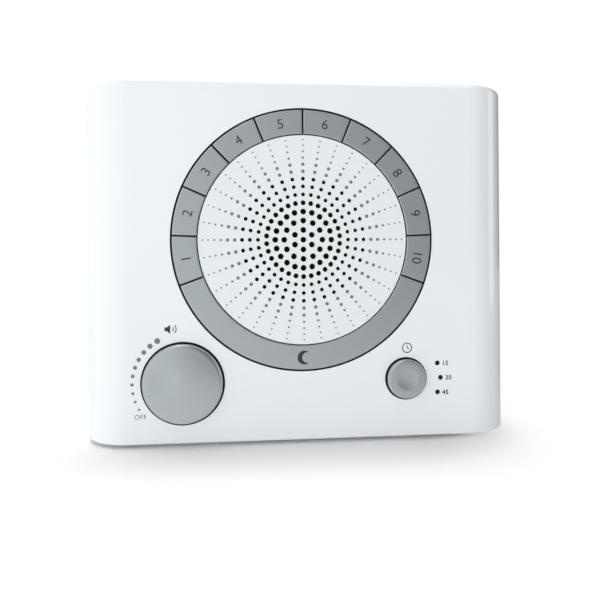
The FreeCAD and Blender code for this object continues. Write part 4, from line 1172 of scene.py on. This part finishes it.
def strip_mesh(name, line, width, closed=False):
    """A flat strip of even width along a line of points."""
    count = len(line)
    points = []
    for number, point in enumerate(line):
        before = line[(number - 1) % count] if closed or number else point
        after = line[(number + 1) % count] if closed or number < count - 1 else point
        along = Vector((after[0] - before[0], after[1] - before[1])).normalized()
        side = Vector((-along.y, along.x)) * width / 2
        points += [(point[0] + side.x, point[1] + side.y), (point[0] - side.x, point[1] - side.y)]
    last = count if closed else count - 1
    faces = [(2 * n, 2 * n + 1, 2 * ((n + 1) % count) + 1, 2 * ((n + 1) % count)) for n in range(last)]
    return thick_mesh(name, points, faces)


def moon(size):
    """A crescent: a round disc with a smaller disc taken out at its right."""
    shift, tip = 0.45, math.radians(48)
    inner = math.hypot(math.cos(tip) - shift, math.sin(tip))
    turn = math.degrees(math.atan2(math.sin(tip), math.cos(tip) - shift))
    line = arc((0, 0), size, 48, 312, 32) + arc((size * shift, 0), size * inner, 360 - turn, turn, 26)[1:-1]
    return patch_mesh("moon", line)


def loudspeaker(size):
    """A small loudspeaker with two waves."""
    half = [(-size, size * 0.35), (-size * 0.55, size * 0.35), (0, size * 0.85)]
    meshes = [patch_mesh("horn", [(x, -y) for x, y in half] + half[::-1])]
    meshes += [strip_mesh("wave", arc((0, 0), size * share, -42, 42, 14), size * 0.17)
               for share in (0.55, 1.05)]
    return join_meshes("loudspeaker", meshes)


def clock(size):
    """A small clock face with two hands."""
    rim = strip_mesh("rim", arc((0, 0), size, 0, 350, 35), size * 0.2, closed=True)
    hands = strip_mesh("hands", [(0, size * 0.62), (0, 0), (size * 0.42, -size * 0.25)], size * 0.18)
    return join_meshes("clock", [rim, hands])


class SOUNDMACHINE_OT_numbers(bpy.types.Operator):
    """Prints the numbers on the keys and beside the lamps, and three plain signs"""

    bl_idname = "soundmachine.numbers"
    bl_label = "Numbers and signs"

    def execute(self, context):
        dial, prints = settings().dial, settings().prints
        reach = dial.key_radius - dial.key_wide / 2
        case_depth = -prints.ink_rise / 2
        key_depth = KEY_LOW.y - FRONT_Y + case_depth
        for number in range(1, KEY_COUNT + 1):
            angle = key_angle(number)
            mesh = letters(str(number), prints.key_number)
            stand_up(mesh, DIAL + spoke(angle, reach), key_depth, angle - math.radians(90))
            piece(new_object("key_number_%d" % number, mesh), "key_%d" % number, "ink")
        sign = stand_up(moon(MOON_SIZE), DIAL - Vector((0, 0, reach)), key_depth)
        piece(new_object("night_light_sign", sign), "night_key", "ink")

        marks = [(letters(text, prints.lamp_number, WIDE_SPACING, EXTRA_WEIGHT), place + NUMBER_FROM_LAMP)
                 for text, place in zip(("15", "30", "45"), lamp_places())]
        marks += [(letters(settings().label, prints.off_word, WIDE_SPACING), KNOB + WORD_FROM_KNOB),
                  (loudspeaker(LOUDSPEAKER_SIZE), KNOB + LOUDSPEAKER_FROM_KNOB),
                  (clock(CLOCK_SIZE), TIMER + CLOCK_FROM_BUTTON)]
        meshes = [stand_up(mesh, place, case_depth) for mesh, place in marks]
        piece(new_object("case_marks", join_meshes("case_marks", meshes)), "case", "ink")
        return {"FINISHED"}


class SOUNDMACHINE_OT_feet(bpy.types.Operator):
    """Makes the four rubber feet"""

    bl_idname = "soundmachine.feet"
    bl_label = "Rubber feet"

    def execute(self, context):
        radius = settings().case.foot_radius
        tree = Tree("rubber feet")
        wide = tree.input("Foot radius", radius)
        tall = tree.input("Foot height", FOOT_HIGH.z)
        foot = tree.node("GeometryNodeMeshCylinder", {
            "Vertices": 40, "Side Segments": 1, "Fill Segments": 2, "Radius": wide, "Depth": tall})
        size = FOOT_HIGH - FOOT_LOW
        feet = tree.copies(tree.grid(size.x - 2 * radius, size.y - 2 * radius), foot)
        made = bevel(tree.build("feet_pads", tree.moved(feet, middle("rubber_feet")), "rubber"), 0.35 * MM, 3)
        finish_mesh(made.data, CRISP_TURNED)
        piece(made, "case", "rubber", ["rubber_feet"])
        return {"FINISHED"}


class SOUNDMACHINE_OT_screws(bpy.types.Operator):
    """Makes the four case screws with their cross slots"""

    bl_idname = "soundmachine.screws"
    bl_label = "Case screws"

    def execute(self, context):
        tip, top = SCREW_LOW.y - FRONT_Y, SCREW_HIGH.y - FRONT_Y
        shank, head, seat = 1.4 * MM, 2.6 * MM, top - 1.6 * MM
        profile = [(0, tip), (shank, tip), (shank, seat), (head, seat), (head, top - 0.9 * MM),
                   (head * 0.8, top - 0.25 * MM), (head * 0.5, top), (0, top)]
        shape = new_object("screw_shape", turned_mesh("screw", profile, Vector(), 40))
        long, narrow, deep = 1.5 * MM, 0.28 * MM, 1.0 * MM
        for x, z in ((long, narrow), (narrow, long)):
            shape = cut(shape, box_mesh("slot", (-x, SCREW_HIGH.y - deep, -z), (x, SCREW_HIGH.y + deep, z)))
        finish_mesh(shape.data, CRISP_TURNED)
        places = screw_places()
        tree = Tree("case screws")
        across = tree.input("Distance across", places[2].x - places[0].x)
        up = tree.input("Distance up", places[1].z - places[0].z)
        stood = tree.moved(tree.grid(across, up), turn=(math.radians(90), 0, 0))
        source = tree.node("GeometryNodeObjectInfo", {"Object": shape}, out="Geometry")
        centre = middle("case_screws")
        screws = tree.moved(tree.copies(stood, source), (centre.x, 0, centre.z))
        made = tree.build("case_screw_set", screws, "steel")
        bpy.data.objects.remove(shape)
        piece(made, "case", "steel", ["case_screws"])
        return {"FINISHED"}


# Finishes of the solids that keep their own shape
INNER_FINISHES = {
    "circuit": ("key_board", "main_board"),
    "black": ("key_switches", "timer_switch", "sound_chip", "dc_jack", "board_connector", "volume_pot",
              "capacitors"),
    "lens": ("night_light_leds",),
    "steel": ("frame_screws", "key_board_screws", "speaker_screws", "board_screws", "speaker_basket",
              "battery_contacts", "volume_shaft"),
    "copper": ("voice_coil",),
    "soft": ("speaker_surround",),
    "paper": ("speaker_cone", "speaker_cap"),
    "ferrite": ("speaker_magnet",),
    "cell": ("aa_cells",),
    "wire": ("speaker_leads", "battery_leads", "inlet_leads"),
}


class SOUNDMACHINE_OT_inner_parts(bpy.types.Operator):
    """Gives the inner pieces their finishes"""

    bl_idname = "soundmachine.inner_parts"
    bl_label = "Inner parts"

    def execute(self, context):
        for material, nodes in INNER_FINISHES.items():
            for node in nodes:
                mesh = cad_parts[node].data
                mesh.materials.clear()
                mesh.materials.append(MATERIALS[material])
        return {"FINISHED"}


# Stage: floor, room, lights and camera
FLOOR_HALF = 6.0
FLOOR_SCALE = (1 / 0.128, 1 / 0.12, 1.0)
FLOOR_SHIFT = (0.12, 0.0, 0.0)

# Brightness of the floor on the left and on the right, as silver mirrors it
FLOOR_LEFT = 0.96
FLOOR_RIGHT = 0.42

# Brightness of the room on the left and on the right
ROOM_LEFT = 1.0
ROOM_RIGHT = 0.10

# The camera stands left of the dial's middle and a little below it, and looks slightly to the right
CAMERA_FROM_DIAL = Vector((-26.6, -256.6, -9.6)) * MM
CAMERA_YAW = math.radians(5.58)
CAMERA_ROLL = math.radians(-0.43)
CAMERA_LENS = 36.85
CAMERA_SHIFT = -0.0624


def stage_floor():
    """A pale floor that is lit near the object and turns plain white farther off."""
    shader = Shader("pale floor")
    pale = settings().finishes.floor
    surface = shader.node("ShaderNodeBsdfPrincipled", {
        "Base Color": shader.tint(shade(pale, 0.995), pale, shader.noise(8.0)), "Roughness": 0.9,
        "Specular IOR Level": 0.0})
    plain = shader.node("ShaderNodeEmission", {"Color": (1, 1, 1, 1), "Strength": 1.0})
    around = shader.node("ShaderNodeMapping", {
        "Vector": shader.place(), "Location": FLOOR_SHIFT, "Scale": FLOOR_SCALE})
    away = shader.node("ShaderNodeVectorMath", [around], out="Value", operation="LENGTH")
    far = shader.node("ShaderNodeMapRange", {"Value": away, "From Min": 0.6, "From Max": 1.0},
                      interpolation_type="SMOOTHSTEP")
    seen = shader.node("ShaderNodeMixShader", [far, surface, plain])
    across = shader.node("ShaderNodeSeparateXYZ", [shader.place()])
    dim = shader.node("ShaderNodeMapRange", {"Value": across, "From Min": -0.06, "From Max": 0.22})
    mirrored = shader.node("ShaderNodeEmission", {
        "Color": shader.tint((FLOOR_LEFT,) * 3, (FLOOR_RIGHT,) * 3, dim), "Strength": 1.0})
    glossy = shader.node("ShaderNodeLightPath", out="Is Glossy Ray")
    mixed = shader.node("ShaderNodeMixShader", [glossy, seen, mirrored])
    shader.node("ShaderNodeOutputMaterial", {"Surface": mixed})
    half = FLOOR_HALF
    points = [(-half, -half, 0), (half, -half, 0), (half, half, 0), (-half, half, 0)]
    floor = new_object("floor", mesh_of("floor", points, [(0, 1, 2, 3)]))
    floor.data.materials.append(shader.owner)


def stage_room():
    """A white room, brighter on the left than on the right, and plain white to the camera."""
    shader = Shader("studio room", bpy.data.worlds)
    ways = shader.node("ShaderNodeSeparateXYZ", [shader.node("ShaderNodeTexCoord", out="Generated")])
    level = shader.node("ShaderNodeMapRange", {
        "Value": ways, "From Min": -0.38, "From Max": 0.42, "To Min": ROOM_LEFT, "To Max": ROOM_RIGHT})
    room = shader.node("ShaderNodeBackground", {"Color": (0.97, 0.985, 1.0, 1), "Strength": level})
    seen = shader.node("ShaderNodeBackground", {"Color": (1, 1, 1, 1), "Strength": 1.0})
    path = shader.node("ShaderNodeLightPath", out="Is Camera Ray")
    shader.node("ShaderNodeOutputWorld", {"Surface": shader.node("ShaderNodeMixShader", [path, room, seen])})
    bpy.context.scene.world = shader.owner


def stage_light(name, place, aim, size, power, diffuse=True, glossy=True):
    """A rectangular lamp that shines at a point."""
    lamp = bpy.data.lights.new(name, "AREA")
    lamp.shape = "RECTANGLE"
    lamp.size, lamp.size_y = size
    lamp.energy = power
    thing = new_object(name, lamp)
    thing.location = place
    thing.rotation_euler = (Vector(aim) - Vector(place)).to_track_quat("-Z", "Y").to_euler()
    thing.visible_diffuse = diffuse
    thing.visible_glossy = glossy


def stage_camera():
    """The camera, with its picture upright but for a small roll."""
    data = bpy.data.cameras.new("camera")
    data.sensor_width = 36.0
    data.lens = CAMERA_LENS
    data.shift_y = CAMERA_SHIFT
    data.clip_start = 0.01
    ahead = Vector((math.sin(CAMERA_YAW), math.cos(CAMERA_YAW), 0))
    level = Vector((math.cos(CAMERA_YAW), -math.sin(CAMERA_YAW), 0))
    upright = Vector((0, 0, 1))
    right = level * math.cos(CAMERA_ROLL) + upright * math.sin(CAMERA_ROLL)
    up = upright * math.cos(CAMERA_ROLL) - level * math.sin(CAMERA_ROLL)
    place = Vector((DIAL.x, FRONT_Y, DIAL.z)) + CAMERA_FROM_DIAL
    thing = new_object("camera", data)
    thing.matrix_world = Matrix.Translation(place) @ Matrix((right, up, -ahead)).transposed().to_4x4()
    bpy.context.scene.camera = thing


class SOUNDMACHINE_OT_stage(bpy.types.Operator):
    """Makes the floor, the lights and the camera"""

    bl_idname = "soundmachine.stage"
    bl_label = "Stage"

    def execute(self, context):
        bpy.context.scene.view_settings.view_transform = "Standard"
        stage_floor()
        stage_room()
        stage_camera()
        case = (0, 0, 0.08)
        stage_light("top softbox", (-0.08, 0.14, 1.0), (0, 0, 0), (0.6, 0.32), 7.5)
        stage_light("left softbox", (-0.45, -1.2, 0.35), case, (0.8, 0.6), 5.5, glossy=False)
        stage_light("right strip", (0.9, -0.05, 0.2), case, (0.3, 0.9), 1.3, diffuse=False)
        return {"FINISHED"}


OPERATORS = (
    SOUNDMACHINE_OT_front_housing, SOUNDMACHINE_OT_rear_cover, SOUNDMACHINE_OT_battery_door,
    SOUNDMACHINE_OT_grille, SOUNDMACHINE_OT_grille_print, SOUNDMACHINE_OT_volume_print, SOUNDMACHINE_OT_keys,
    SOUNDMACHINE_OT_volume_knob, SOUNDMACHINE_OT_timer_button, SOUNDMACHINE_OT_lamps,
    SOUNDMACHINE_OT_numbers, SOUNDMACHINE_OT_feet, SOUNDMACHINE_OT_screws, SOUNDMACHINE_OT_inner_parts,
    SOUNDMACHINE_OT_stage,
)


class SOUNDMACHINE_PT_panel(bpy.types.Panel):
    """Lists the pieces of the sound machine"""

    bl_idname = "SOUNDMACHINE_PT_panel"
    bl_label = "Sound machine"
    bl_space_type = "VIEW_3D"
    bl_region_type = "UI"
    bl_category = "Sound machine"

    def draw(self, context):
        for item in OPERATORS:
            self.layout.operator(item.bl_idname)


CLASSES = (CaseSizes, DialSizes, ControlSizes, PrintSizes, Finishes, SoundMachine, *OPERATORS,
           SOUNDMACHINE_PT_panel)


def register():
    for item in CLASSES:
        bpy.utils.register_class(item)
    bpy.types.Scene.sound_machine = PointerProperty(type=SoundMachine)


def unregister():
    del bpy.types.Scene.sound_machine
    for item in reversed(CLASSES):
        bpy.utils.unregister_class(item)


def main():
    register()
    make_materials()
    for item in OPERATORS:
        getattr(bpy.ops.soundmachine, item.bl_idname.split(".")[1])()


if __name__ == "__main__":
    main()
